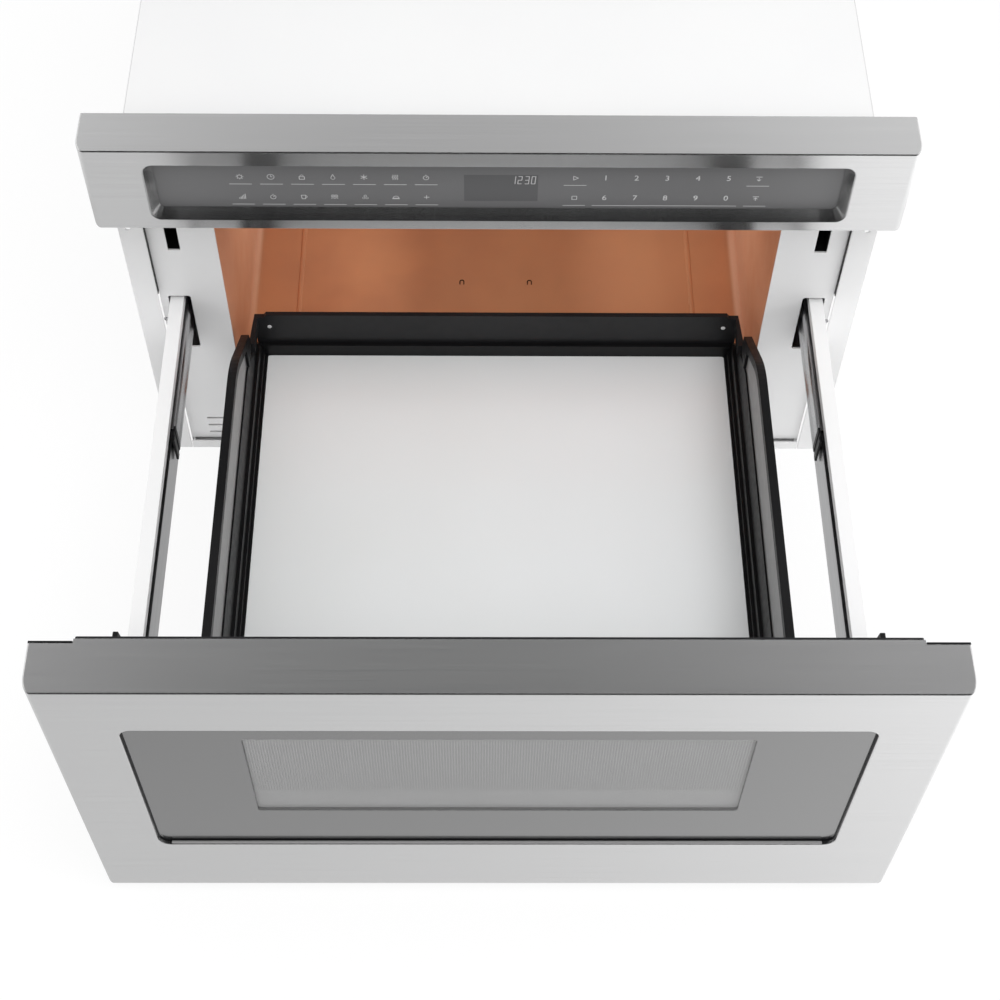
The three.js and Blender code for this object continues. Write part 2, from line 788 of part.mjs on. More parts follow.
function powerBoard() {
  const x = halfCavity - powerBoardWidth / 2 - powerBoardInset;
  const front = linerFront + powerBoardSetback;
  const low = ceilingTop + standoff;
  const board = block(
    middle(powerBoardWidth, x),
    spanBehind(front, front + powerBoardLength),
    [low, low + boardThickness],
  );
  const parts = powerBoardParts.map((part) => {
    const deep = middle(part.depth, behind(front + part.y));
    return block(middle(part.width, x + part.x), deep, [low, low + part.height]);
  });
  const legX = powerBoardWidth / 2 - standoffInset;
  const legY = [front + standoffInset, front + powerBoardLength - standoffInset];
  const legs = [x - legX, x + legX].flatMap((u) => legY.map((y) => (
    round('z', u, behind(y), standoffRadius, [ceilingTop, low + 1], 4)
  )));
  return join(board, ...parts, ...legs);
}

function cavityLamp() {
  const start = halfCavity + linerSheet + gap;
  const socket = block([start, start + lampDepth], middle(lampSize, behind(lampY)), middle(lampSize, lampZ));
  const bulb = round('x', behind(lampY), lampZ, lampRadius, [halfCavity, start + 1]);
  return join(socket, bulb);
}

// ---------------------------------------------------------------- control panel

function frontPlan(half) {
  const shape = new THREE.Shape();
  shape.moveTo(half, flangeY);
  shape.lineTo(-half, flangeY);
  const size = [cornerAcross, cornerDeep];
  shape.absellipse(-half + cornerAcross, faceY + cornerDeep, ...size, Math.PI, 1.5 * Math.PI);
  shape.absellipse(half - cornerAcross, faceY + cornerDeep, ...size, 1.5 * Math.PI, 2 * Math.PI);
  return shape;
}

// A sheet-metal front: rounded in plan and at its corners, hollow from behind.
function frontShell(low, high, rearAt) {
  const plan = prism('z', frontPlan(halfFront), [low, high]);
  const outline = roundedBox([-halfFront, halfFront], [low, high], edgeRadius);
  const face = prism('y', outline, [faceY, behind(rearAt)]);
  const inner = halfFront - skinSheet;
  const room = block([-inner, inner], [faceY + cornerDeep, flangeY + 1], [low + skinSheet, high - skinSheet]);
  const nose = inner - cornerAcross;
  const front = block([-nose, nose], [faceY + skinSheet, flangeY + 1], [low + skinSheet, high - skinSheet]);
  return cut(plan.intersect(face), room, front);
}

function controlTrim() {
  const shell = frontShell(panelBottom, panelTop, -gap);
  const outer = recessWidth / 2 + recessBevelX + glassOverlap;
  const low = panelBottom + surroundLift;
  const deep = [faceY + skinSheet / 2, faceY + recessDepth];
  const surround = block([-outer, outer], deep, [low, low + surroundHeight]);
  const across = middle(recessWidth);
  const up = [recessBottom, recessTop];
  const bevel = taperedRecess(across, up, recessRadius, recessDepth + 0.01, recessBevelX, recessBevelZ);
  return cut(join(shell, surround), bevel);
}

function controlGlass() {
  const half = recessWidth / 2 - recessBevelX + glassOverlap;
  const up = [recessBottom + recessBevelZ - glassOverlap, recessTop - recessBevelZ + glassOverlap];
  const outline = roundedBox([-half, half], up, recessRadius / 2);
  return prism('y', outline, [controlGlassFront, controlGlassFront + glassThickness]);
}

function displayModule() {
  const deep = [displayFront, displayFront + displayDepth];
  return block(middle(displayWidth), deep, middle(displayHeight, panelMiddle));
}

function controlBoard() {
  const front = displayFront + displayDepth + gap;
  const rear = front + boardThickness;
  const board = block(middle(controlBoardWidth), [front, rear], middle(controlBoardHeight, panelMiddle));
  const chips = controlChips.map((x) => (
    block(middle(chipWidth, x), [front, rear + chipHeight], middle(chipLength, panelMiddle))
  ));
  return join(board, ...chips);
}

// ---------------------------------------------------------------- drawer front

function drawerSkin() {
  const shell = frontShell(frontLift, drawerFrontTop, skinRear);
  const tongue = block(
    [-plateHalfWidth, plateHalfWidth],
    spanBehind(skinRear - 1, tongueBehind),
    [drawerFrontTop - skinSheet, drawerFrontTop],
  );
  const pane = roundedBox(middle(windowWidth), [windowBottom, windowTop], windowRadius);
  const lipOuter = roundedBox(
    middle(windowWidth + 2 * skinSheet),
    [windowBottom - skinSheet, windowTop + skinSheet],
    windowRadius + skinSheet,
  );
  const lip = prism('y', lipOuter, [faceY + skinSheet / 2, faceY + windowRecess]);
  const hole = prism('y', pane, [faceY - 1, faceY + windowRecess + 1]);
  return cut(join(shell, tongue, lip), hole);
}

function drawerGlass() {
  const across = middle(windowWidth + 2 * glassOverlap);
  const up = [windowBottom - glassOverlap, windowTop + glassOverlap];
  const deep = [drawerGlassFront, drawerGlassFront + glassThickness];
  return prism('y', roundedBox(across, up, windowRadius), deep);
}

function innerPlate() {
  const low = frontLift + plateInset;
  const high = drawerFrontTop - skinSheet - gap;
  const half = plateHalfWidth - gap;
  const outline = roundedBox([-half, half], [low, high], edgeRadius);
  const pan = prism('y', outline, spanBehind(plateFront, plateBehind));
  const inner = half - plateSheet;
  const hollow = spanBehind(plateFront - 1, plateBehind - plateSheet);
  const room = block([-inner, inner], hollow, [low + plateSheet, high - plateSheet]);
  const up = [screenBottom, screenBottom + screenHeight];
  const pane = block(middle(screenWidth), spanBehind(0, plateBehind + 1), up);
  return cut(pan, room, pane);
}

function windowScreen() {
  const across = middle(screenWidth + 2 * screenMargin);
  const rear = plateBehind - plateSheet - gap;
  const up = [screenBottom - screenMargin, screenBottom + screenHeight + screenMargin];
  return block(across, spanBehind(rear - screenSheet, rear), up);
}

function backTrim() {
  const ring = block([-halfFront, halfFront], spanBehind(skinRear + gap, -gap), [frontLift, drawerFrontTop]);
  const hole = block(
    middle(2 * (plateHalfWidth + gap)),
    spanBehind(skinRear - 1, 1),
    [frontLift + plateInset - gap, drawerFrontTop + 1],
  );
  return cut(ring, hole);
}

function latchHook(sign) {
  const front = plateBehind + gap;
  const tip = front + latchReach;
  const low = latchBottom;
  const high = latchBottom + latchHeight;
  const outline = polygon([
    [behind(front), low],
    [behind(front + latchShank), low],
    [behind(tip - latchNose), low + latchSlopeHeight],
    [behind(tip), low + latchTipHeight],
    [behind(tip - 2), high],
    [behind(tip - latchBarb + 1), high],
    [behind(tip - latchBarb), low + latchNeckHeight],
    [behind(front), low + latchNeckHeight],
  ]);
  return prism('x', outline, side(sign, latchX - latchThickness / 2, latchX + latchThickness / 2));
}

// ---------------------------------------------------------------- rails on the drawer

function railChannel(sign) {
  const deep = spanBehind(drawerRailFront, drawerRailFront + slideLength);
  const low = channelTop - channelHeight;
  const web = block(side(sign, railOuter - railSheet, railOuter), deep, [low, channelTop]);
  const roof = block(side(sign, railInner, railOuter), deep, [channelTop - railSheet, channelTop]);
  const lipLow = channelTop - channelLip;
  const lip = block(side(sign, railInner, railInner + railSheet), deep, [lipLow, channelTop]);
  return join(web, roof, lip);
}

const drawerMember = (sign) => (
  slideMember(sign, 0, railOuter - railSheet - gap, [drawerRailFront, drawerRailFront + slideLength])
);
const middleMember = (sign) => (
  slideMember(sign, 1, memberInner - memberStep + memberFold, [middleSetback, middleSetback + middleLength])
);

// Plastic block at the front end of the middle member.
function slideStop(sign) {
  const front = middleSetback - stopLength;
  const deep = spanBehind(front, middleSetback - gap);
  const body = block(side(sign, stopInner, memberInner - gap), deep, [stopLow, stopHigh]);
  const notch = block(
    side(sign, stopInner - 1, stopInner + stopNotchDepth),
    spanBehind(front + stopNotchFrom, front + stopNotchFrom + stopNotch),
    [stopLow - 1, stopHigh + 1],
  );
  return cut(body, notch);
}

// ---------------------------------------------------------------- drive

function pinionOutline() {
  const pressure = THREE.MathUtils.degToRad(pressureAngle);
  const base = pinionRadius * Math.cos(pressure);
  const involute = (angle) => Math.tan(angle) - angle;
  const halfTooth = Math.PI / (2 * pinionTeeth) - backlash / (4 * pinionRadius);
  const root = pinionRadius - rootDepth * gearModule;
  const tip = pinionRadius + gearModule;
  const points = [];
  const at = (radius, angle) => points.push([
    behind(pinionBehind) + radius * Math.cos(angle),
    pinionZ + radius * Math.sin(angle),
  ]);
  const spread = (radius) => halfTooth + involute(pressure) - involute(Math.acos(Math.min(1, base / radius)));
  const radii = [Math.max(base, root), pinionRadius - gearModule / 3, pinionRadius + gearModule / 3, tip];
  for (let i = 0; i < pinionTeeth; i += 1) {
    const centre = Math.PI / 2 + (i * 2 * Math.PI) / pinionTeeth;
    at(root, centre - spread(radii[0]));
    radii.forEach((radius) => at(radius, centre - spread(radius)));
    [...radii].reverse().forEach((radius) => at(radius, centre + spread(radius)));
    at(root, centre + spread(radii[0]));
  }
  return polygon(points);
}

function drivePinion() {
  const wheel = prism('x', pinionOutline(), middle(pinionWidth));
  const along = [-pinionWidth / 2 - axleFront, pinionWidth / 2 + axleRear];
  return join(wheel, round('x', behind(pinionBehind), pinionZ, shaftRadius, along));
}

function driveMotor() {
  const start = pinionWidth / 2 + gearboxClearance;
  const end = start + gearboxWidth;
  const y = behind(pinionBehind);
  const box = block([start, end], middle(gearboxSize, y), [shelf, pinionZ + shaftRadius + gearboxWall]);
  const can = round('x', y, pinionZ - motorDrop, motorRadius, [end - 1, end + motorLength], 12);
  const bore = round('x', y, pinionZ, shaftRadius + gap, [start - 1, pinionWidth / 2 + axleRear + gap]);
  return cut(join(box, can), bore);
}

function driveRack() {
  const pitch = Math.PI * gearModule;
  const lean = Math.tan(THREE.MathUtils.degToRad(pressureAngle));
  const half = pitch / 4 - backlash / 4;
  const atTip = half - gearModule * lean;
  const atRoot = half + rootDepth * gearModule * lean;
  const back = rackRoot + rackBody;
  const points = [[behind(rackFront), rackRoot]];
  const first = Math.ceil((rackFront - pinionBehind - travel) / pitch) + 1;
  const count = Math.floor((rackRear - rackFront) / pitch) - 2;
  for (let i = 0; i < count; i += 1) {
    const y = behind(pinionBehind + travel + (first + i + 0.5) * pitch);
    points.push([y - atRoot, rackRoot], [y - atTip, rackTip], [y + atTip, rackTip], [y + atRoot, rackRoot]);
  }
  points.push([behind(rackRear), rackRoot], [behind(rackRear), back], [behind(rackFront), back]);
  return prism('x', polygon(points), middle(pinionWidth));
}

// A channel, open at the top, that carries the rack under the tray.
function rackBeam() {
  const outer = block(
    middle(beamWidth),
    spanBehind(plateBehind + gap, rackRear),
    [beamLow, beamLow + beamHeight],
  );
  const room = block(
    middle(beamWidth - 2 * railSheet),
    spanBehind(0, rackRear + 1),
    [beamLow + railSheet, beamLow + beamHeight + 1],
  );
  return cut(outer, room);
}

// ---------------------------------------------------------------- tray

function trayGlass() {
  const outline = roundedBox([-trayFloorHalf, trayFloorHalf], spanBehind(trayFront + gap, trayFloorEnd), 2);
  return prism('z', outline, [glassLow, trayFloorTop]);
}

// Half of the moulded frame's section, from the centre outwards.
function frameSection(sign) {
  const edge = trayFloorHalf + gap;
  const wall = frameOuter - frameEdge;
  const upper = wall - frameLean - upperStepWidth;
  const lower = upper - lowerStepWidth;
  const points = [
    [edge - trayLedge, frameLow],
    [frameOuter, frameLow],
    [frameOuter, trayFrameTop],
    [wall, trayFrameTop],
    [wall - frameLean, trayFloorTop + upperStepHeight],
    [upper, trayFloorTop + upperStepHeight],
    [upper, trayFloorTop + lowerStepHeight],
    [lower, trayFloorTop + lowerStepHeight],
    [lower, trayFloorTop + trayLip],
    [edge, trayFloorTop + trayLip],
    [edge, glassLow - gap],
    [edge - trayLedge, glassLow - gap],
  ];
  return polygon(points.map(([x, z]) => [sign * x, z]));
}

function trayFrame() {
  const deep = spanBehind(trayFront, frameRear);
  const knee = trayRear - frameKnee;
  const sides = [-1, 1].map((sign) => prism('y', frameSection(sign), deep));
  const slope = polygon([
    [behind(trayFront - 1), frameLow - 1],
    [behind(frameRear + 1), frameLow - 1],
    [behind(frameRear + 1), rearStepTop],
    [behind(knee), trayFrameTop - frameRearDrop],
    [behind(knee - frameFall), trayFrameTop + 1],
    [behind(trayFront - 1), trayFrameTop + 1],
  ]);
  const inside = [-frameOuter, frameOuter];
  const kept = prism('x', slope, inside);
  const rear = block(inside, spanBehind(trayFloorEnd + gap, frameRear), [frameLow, rearStepTop]);
  const ledge = [frameLow, glassLow - gap];
  const under = block(inside, spanBehind(trayFloorEnd - trayLedge, trayFloorEnd + gap + 1), ledge);
  const front = block(inside, spanBehind(trayFront, trayFront + trayLedge), ledge);
  return join(sides[0].intersect(kept), sides[1].intersect(kept), rear, under, front);
}

// The rim's line along the tray: level, then a bend, then a slope down to its rear end.
function rimLine(offset) {
  const angle = THREE.MathUtils.degToRad(rimSlope);
  const radius = rimBend - offset;
  const top = trayRimTop - offset;
  const points = [[behind(trayFront), top]];
  const steps = 6;
  for (let i = 0; i <= steps; i += 1) {
    const turn = (angle * i) / steps;
    points.push([behind(rimBendStart) + radius * Math.sin(turn), top - radius * (1 - Math.cos(turn))]);
  }
  const [y, z] = points[points.length - 1];
  const end = behind(rimEnd);
  points.push([end, z - (end - y) * Math.tan(angle)]);
  return points;
}

function sideProfile(offset, low) {
  return polygon([...rimLine(offset), [behind(rimEnd), low], [behind(trayFront), low]]);
}

function traySide(sign) {
  return prism('x', sideProfile(rimCover, frameLow), side(sign, rimPlateInner, rimPlateOuter));
}

function trayRim(sign) {
  const across = side(sign, trayRimHalf - trayRimWidth, trayRimHalf);
  const band = prism('x', sideProfile(0, frameLow), across);
  const leg = block(across, spanBehind(rimEnd - rimLegDepth, rimEnd), [rimLegLow, trayRimTop]).intersect(band);
  const line = rimLine(trayRimHeight);
  const [front, rear] = spanBehind(trayFront - 1, rimEnd + 1);
  const ends = [[rear, line[line.length - 1][1]], [rear, 0], [front, 0], [front, line[0][1]]];
  const around = side(sign, rimPlateInner - trayRimWidth, rimPlateOuter + trayRimWidth);
  const below = prism('x', polygon([...line, ...ends]), around);
  const plate = side(sign, rimPlateInner - gap, rimPlateOuter + gap);
  const slot = prism('x', sideProfile(rimCover - gap, 0), plate);
  return cut(join(cut(band, below), leg), slot);
}

function trayRearWall() {
  const half = frameOuter - rearWallInset;
  const corner = [
    [half, frameLow],
    [half, rearWallTop - rearCornerHeight],
    [half - rearCornerBevel, rearWallTop - rearCornerDrop],
    [half - rearCornerWidth + rearCornerBevel, rearWallTop - rearCornerDrop],
    [half - rearCornerWidth, rearWallTop],
  ];
  const mirrored = corner.map(([x, z]) => [-x, z]).reverse();
  const wall = prism('y', polygon([...corner, ...mirrored]), spanBehind(frameRear + gap, trayRear));
  const wing = [
    [half - rearWing, behind(rimEnd + gap)],
    [half + rearWingFlare, behind(rimEnd + gap)],
    [half, behind(trayRear)],
    [half - rearWing, behind(trayRear)],
  ];
  const wings = [-1, 1].map((sign) => prism(
    'z',
    polygon(wing.map(([x, y]) => [sign * x, y])),
    [rearWingLow, rearWallTop - rearCornerDrop],
  ));
  const through = spanBehind(frameRear, trayRear + 1);
  const holes = [-1, 1].map((sign) => (
    round('y', sign * rearHoleX, rearWallTop - rearHoleDrop, rearHoleRadius, through, 4)
  ));
  return cut(join(wall, ...wings), ...holes);
}

function trayPan() {
  const half = frameOuter - trayPanInset;
  const top = frameLow - gap;
  const slab = block([-half, half], spanBehind(trayFront, trayRear), [top - trayPanHeight, top]);
  const inner = half - traySheet;
  const hollow = spanBehind(trayFront + traySheet, trayRear - traySheet);
  return cut(slab, block([-inner, inner], hollow, [0, top - traySheet]));
}

// ---------------------------------------------------------------- assembly

piece(appliance, 'front_frame', 'whitePaint', frontFrame());
pair(appliance, 'mounting_flange', 'whitePaint', flange);
piece(appliance, 'base_pan', 'whitePaint', basePan());
piece(appliance, 'wrap_cover', 'whitePaint', wrapCover());
piece(appliance, 'rear_cover', 'whitePaint', rearCover());
piece(appliance, 'cavity_liner', 'copper', cavityLiner());
pair(appliance, 'slide_support', 'steel', slideSupport);
pair(appliance, 'cabinet_slide', 'steel', cabinetMember);
pair(appliance, 'interlock_switch', 'blackPlastic', interlock);
piece(appliance, 'waveguide', 'steel', waveguide());
piece(appliance, 'stirrer_cover', 'mica', stirrerCover());
piece(appliance, 'stirrer_fan', 'steel', stirrerFan());
piece(appliance, 'stirrer_motor', 'steel', stirrerMotor());
piece(appliance, 'magnetron', 'steel', magnetron());
piece(appliance, 'transformer', 'steel', transformer());
piece(appliance, 'capacitor', 'steel', capacitor());
piece(appliance, 'fan_shroud', 'blackPlastic', fanShroud());
piece(appliance, 'cooling_fan', 'blackPlastic', coolingFan());
piece(appliance, 'fan_motor', 'steel', fanMotor());
piece(appliance, 'cord_inlet', 'blackPlastic', cordInlet());
piece(appliance, 'power_board', 'board', powerBoard());
piece(appliance, 'cavity_lamp', 'whiteGlass', cavityLamp());
piece(appliance, 'control_trim', 'stainless', controlTrim());
piece(appliance, 'control_glass', 'darkGlass', controlGlass());
piece(appliance, 'display_module', 'darkGlass', displayModule());
piece(appliance, 'control_board', 'board', controlBoard());
piece(appliance, 'drive_motor', 'steel', driveMotor());
piece(appliance, 'drive_pinion', 'steel', drivePinion());

pair(slidesMiddle, 'middle_slide', 'steel', middleMember);
pair(slidesMiddle, 'slide_stop', 'blackPlastic', slideStop);

piece(drawer, 'drawer_skin', 'stainless', drawerSkin());
piece(drawer, 'drawer_glass', 'darkGlass', drawerGlass());
piece(drawer, 'window_screen', 'steel', windowScreen());
piece(drawer, 'inner_plate', 'blackPlastic', innerPlate());
piece(drawer, 'back_trim', 'blackPlastic', backTrim());
pair(drawer, 'latch_hook', 'blackPlastic', latchHook);
pair(drawer, 'rail_channel', 'whitePaint', railChannel);
pair(drawer, 'drawer_slide', 'steel', drawerMember);
piece(drawer, 'drive_rack', 'blackPlastic', driveRack());
piece(drawer, 'rack_beam', 'steel', rackBeam());
piece(drawer, 'tray_pan', 'steel', trayPan());
piece(drawer, 'tray_floor', 'whiteGlass', trayGlass());
piece(drawer, 'tray_frame', 'blackPlastic', trayFrame());
pair(drawer, 'tray_side', 'greyPaint', traySide);
pair(drawer, 'tray_rim', 'blackPlastic', trayRim);
piece(drawer, 'tray_rear_wall', 'blackPlastic', trayRearWall());

export default appliance;
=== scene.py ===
"""A built-in microwave drawer, standing open: its finishes, detailed pieces, studio and camera."""

import json
import math

import bmesh
import bpy
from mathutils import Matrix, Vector


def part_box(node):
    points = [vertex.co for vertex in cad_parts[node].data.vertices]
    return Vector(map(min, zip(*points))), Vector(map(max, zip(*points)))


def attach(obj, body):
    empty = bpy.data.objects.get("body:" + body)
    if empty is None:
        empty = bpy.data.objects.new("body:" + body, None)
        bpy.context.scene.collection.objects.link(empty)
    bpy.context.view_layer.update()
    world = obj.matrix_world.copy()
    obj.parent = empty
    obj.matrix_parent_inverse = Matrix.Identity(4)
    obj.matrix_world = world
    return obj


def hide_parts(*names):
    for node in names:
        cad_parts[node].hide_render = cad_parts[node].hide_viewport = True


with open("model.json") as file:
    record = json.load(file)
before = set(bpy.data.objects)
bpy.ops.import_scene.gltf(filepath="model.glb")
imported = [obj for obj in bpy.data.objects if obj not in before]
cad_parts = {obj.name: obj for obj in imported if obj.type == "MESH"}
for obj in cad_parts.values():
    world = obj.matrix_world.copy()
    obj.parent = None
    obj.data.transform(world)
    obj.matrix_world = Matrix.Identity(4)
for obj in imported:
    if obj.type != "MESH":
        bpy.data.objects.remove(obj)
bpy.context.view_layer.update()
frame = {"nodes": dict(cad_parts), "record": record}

MM = 0.001
NODES = frame["nodes"]


# ---------------------------------------------------------------- finishes

# Sockets of the Mix node, by number, since some share a name.
FACTOR = 0
NUMBERS = (2, 3)
COLOURS = (6, 7)
MIXED_NUMBER = 0
MIXED_COLOUR = 2


class Finish:
    """A Principled material whose detail follows the piece's own coordinates."""

    def __init__(self, name, colour, roughness, metallic=0.0, **sockets):
        self.material = bpy.data.materials.new(name)
        self.material.use_nodes = True
        self.tree = self.material.node_tree
        self.shader = self.tree.nodes["Principled BSDF"]
        self.colour = (*colour, 1)
        self.roughness = roughness
        self.set("Base Color", self.colour)
        self.set("Roughness", roughness)
        self.set("Metallic", metallic)
        for socket, value in sockets.items():
            self.set(socket.replace("_", " "), value)
        self.place = self.node("ShaderNodeTexCoord").outputs["Object"]
        self.height = None

    def set(self, socket, value):
        self.shader.inputs[socket].default_value = value

    def node(self, kind, **settings):
        made = self.tree.nodes.new(kind)
        for name, value in settings.items():
            setattr(made, name, value)
        return made

    def link(self, source, target):
        self.tree.links.new(source, target)

    def noise(self, scale, detail=2.0, stretch=(1, 1, 1)):
        mapping = self.node("ShaderNodeMapping")
        mapping.inputs["Scale"].default_value = stretch
        self.link(self.place, mapping.inputs["Vector"])
        made = self.node("ShaderNodeTexNoise")
        made.inputs["Scale"].default_value = scale
        made.inputs["Detail"].default_value = detail
        self.link(mapping.outputs["Vector"], made.inputs["Vector"])
        return made.outputs["Fac"]

    def cells(self, scale):
        made = self.node("ShaderNodeTexVoronoi")
        made.inputs["Scale"].default_value = scale
        self.link(self.place, made.inputs["Vector"])
        return made.outputs["Distance"]

    def between(self, value, low, high, start=0.3, end=0.7):
        """Maps the middle of a 0 to 1 pattern, or another span of a value, onto low to high."""
        made = self.node("ShaderNodeMapRange")
        made.inputs["From Min"].default_value = start
        made.inputs["From Max"].default_value = end
        made.inputs["To Min"].default_value = low
        made.inputs["To Max"].default_value = high
        self.link(value, made.inputs["Value"])
        return made.outputs["Result"]

    def beyond(self, span):
        """0 nearer the centre plane than the span, and 1 beyond it."""
        split = self.node("ShaderNodeSeparateXYZ")
        self.link(self.place, split.inputs["Vector"])
        apart = self.node("ShaderNodeMath", operation="ABSOLUTE")
        self.link(split.outputs["X"], apart.inputs[0])
        return self.between(apart.outputs[0], 0, 1, *span)

    def tint(self, value, factors, amount=1.0):
        """Fades to the base colour times the factors where the pattern is high."""
        first, second = COLOURS
        mix = self.node("ShaderNodeMix", data_type="RGBA")
        before = self.shader.inputs["Base Color"]
        if before.links:
            self.link(before.links[0].from_socket, mix.inputs[first])
        else:
            mix.inputs[first].default_value = self.colour
        changed = [c * f for c, f in zip(self.colour, factors)]
        mix.inputs[second].default_value = (*changed, 1)
        self.link(self.between(value, 0, amount), mix.inputs[FACTOR])
        self.link(mix.outputs[MIXED_COLOUR], before)

    def polish(self, value, spread):
        """Varies the roughness about its middle value."""
        result = self.between(value, self.roughness - spread, self.roughness + spread)
        self.link(result, self.shader.inputs["Roughness"])

    def bump(self, value, depth, strength=1.0):
        made = self.node("ShaderNodeBump")
        made.inputs["Distance"].default_value = depth
        made.inputs["Strength"].default_value = strength
        self.link(value, made.inputs["Height"])
        if self.height:
            self.link(self.height, made.inputs["Normal"])
        self.height = made.outputs["Normal"]
        self.link(self.height, self.shader.inputs["Normal"])


DARKER = (0.93, 0.93, 0.93)
LIGHTER = (1.05, 1.05, 1.05)
# How often each grain repeats along X, Y and Z.
FINE_GRAIN = (6, 1800, 1800)
COARSE_GRAIN = (9, 500, 500)
ROLLED_GRAIN = (500, 5, 500)


def brushed_steel(name, colour, roughness):
    """Steel brushed along X: reflections spread across the grain and stay sharp along it."""
    made = Finish(name, colour, roughness, 1.0, Anisotropic=1.0)
    across = made.node("ShaderNodeTangent", direction_type="RADIAL", axis="X")
    made.link(across.outputs["Tangent"], made.shader.inputs["Tangent"])
    fine = made.noise(1.0, 3.0, FINE_GRAIN)
    made.tint(fine, DARKER)
    made.tint(made.noise(1.0, 2.0, COARSE_GRAIN), LIGHTER, 0.6)
    made.polish(made.noise(1.0, 2.0, COARSE_GRAIN), 0.012)
    made.bump(fine, 0.004 * MM, 0.3)
    return made


def sheet_steel(name, colour, roughness):
    """Zinc-coated sheet with a faint spangle."""
    made = Finish(name, colour, roughness, 0.85)
    made.tint(made.cells(90.0), LIGHTER)
    made.tint(made.noise(12.0), DARKER)
    made.polish(made.noise(60.0), 0.06)
    made.bump(made.noise(400.0), 0.02 * MM, 0.4)
    return made


def rolled_steel(name, colour, roughness):
    """Bright cold-rolled strip, with a faint grain along Y."""
    made = Finish(name, colour, roughness, 1.0)
    made.tint(made.noise(1.0, 2.0, ROLLED_GRAIN), DARKER)
    made.polish(made.noise(1.0, 2.0, ROLLED_GRAIN), 0.02)
    made.bump(made.noise(1.0, 2.0, ROLLED_GRAIN), 0.003 * MM, 0.3)
    return made


def powder_coat(name, colour, roughness):
    """Satin paint with a fine orange-peel surface."""
    made = Finish(name, colour, roughness)
    made.tint(made.noise(7.0, 4.0), (0.975, 0.975, 0.98))
    made.polish(made.noise(90.0), 0.04)
    made.bump(made.noise(1400.0), 0.03 * MM, 0.35)
    return made


# Distances from the centre plane, in metres, over which painted shade on the covers and painted light in
# the cavity fade in towards the sides.
SIDE_SHEET = (0.2755, 0.277)
SIDE_WALL = (0.214, 0.2215)
# What the base colour is multiplied by there: painted shade on the covers' side sheets, painted light on
# the cavity's side walls.
PAINTED_SIDE_SHADE = (0.733, 0.733, 0.74)
PAINTED_SIDE_LIGHT = (1.45, 2.0, 2.6)


def shaded_cover_paint(name, colour, roughness):
    """The covers' thin paint, which a cabinet hides, with painted shade darkening the side sheets."""
    made = powder_coat(name, colour, roughness)
    # Painted shade: the side sheets are darker, against the side lamps' light.
    made.tint(made.beyond(SIDE_SHEET), PAINTED_SIDE_SHADE)
    return made


def moulded(name, colour, roughness, **sockets):
    """Moulded plastic or enamel with a fine grain."""
    made = Finish(name, colour, roughness, **sockets)
    made.tint(made.noise(14.0, 4.0), (1.35, 1.35, 1.35))
    made.polish(made.noise(160.0), 0.05)
    made.bump(made.noise(2600.0, 1.0), 0.04 * MM, 0.4)
    return made


def warm_lit_liner(name, colour, roughness):
    """A steel liner with the cavity lamp's warm light painted into it as a cloudy copper tone, with a
    satin sheen, and painted light making it paler on the cavity's side walls.
    """
    made = Finish(name, colour, roughness, 0.45)
    made.tint(made.noise(5.0, 3.0), (0.88, 0.82, 0.8))
    made.tint(made.noise(13.0, 3.0), (1.2, 1.2, 1.08), 0.8)
    # Painted light: the side walls are paler and less red, as if more brightly lit.
    made.tint(made.beyond(SIDE_WALL), PAINTED_SIDE_LIGHT)
    made.tint(made.noise(3.0, 2.0, (3, 1, 1)), (1.06, 1.12, 1.05), 0.8)
    made.polish(made.noise(40.0), 0.05)
    made.bump(made.noise(5.0), 0.5 * MM, 0.2)
    return made


def printed_glass(name, colour, roughness, **sockets):
    """Glass with an opaque print behind it."""
    made = Finish(name, colour, roughness, **sockets)
    made.tint(made.noise(4.0), (1.05, 1.05, 1.06))
    made.polish(made.noise(25.0), 0.015)
    return made


def clear_glass(name, colour, roughness, alpha):
    """Tinted glass that lets part of what is behind it through."""
    made = Finish(name, colour, roughness, Alpha=alpha)
    made.tint(made.noise(4.0), (1.1, 1.1, 1.1))
    made.polish(made.noise(30.0), 0.01)
    return made


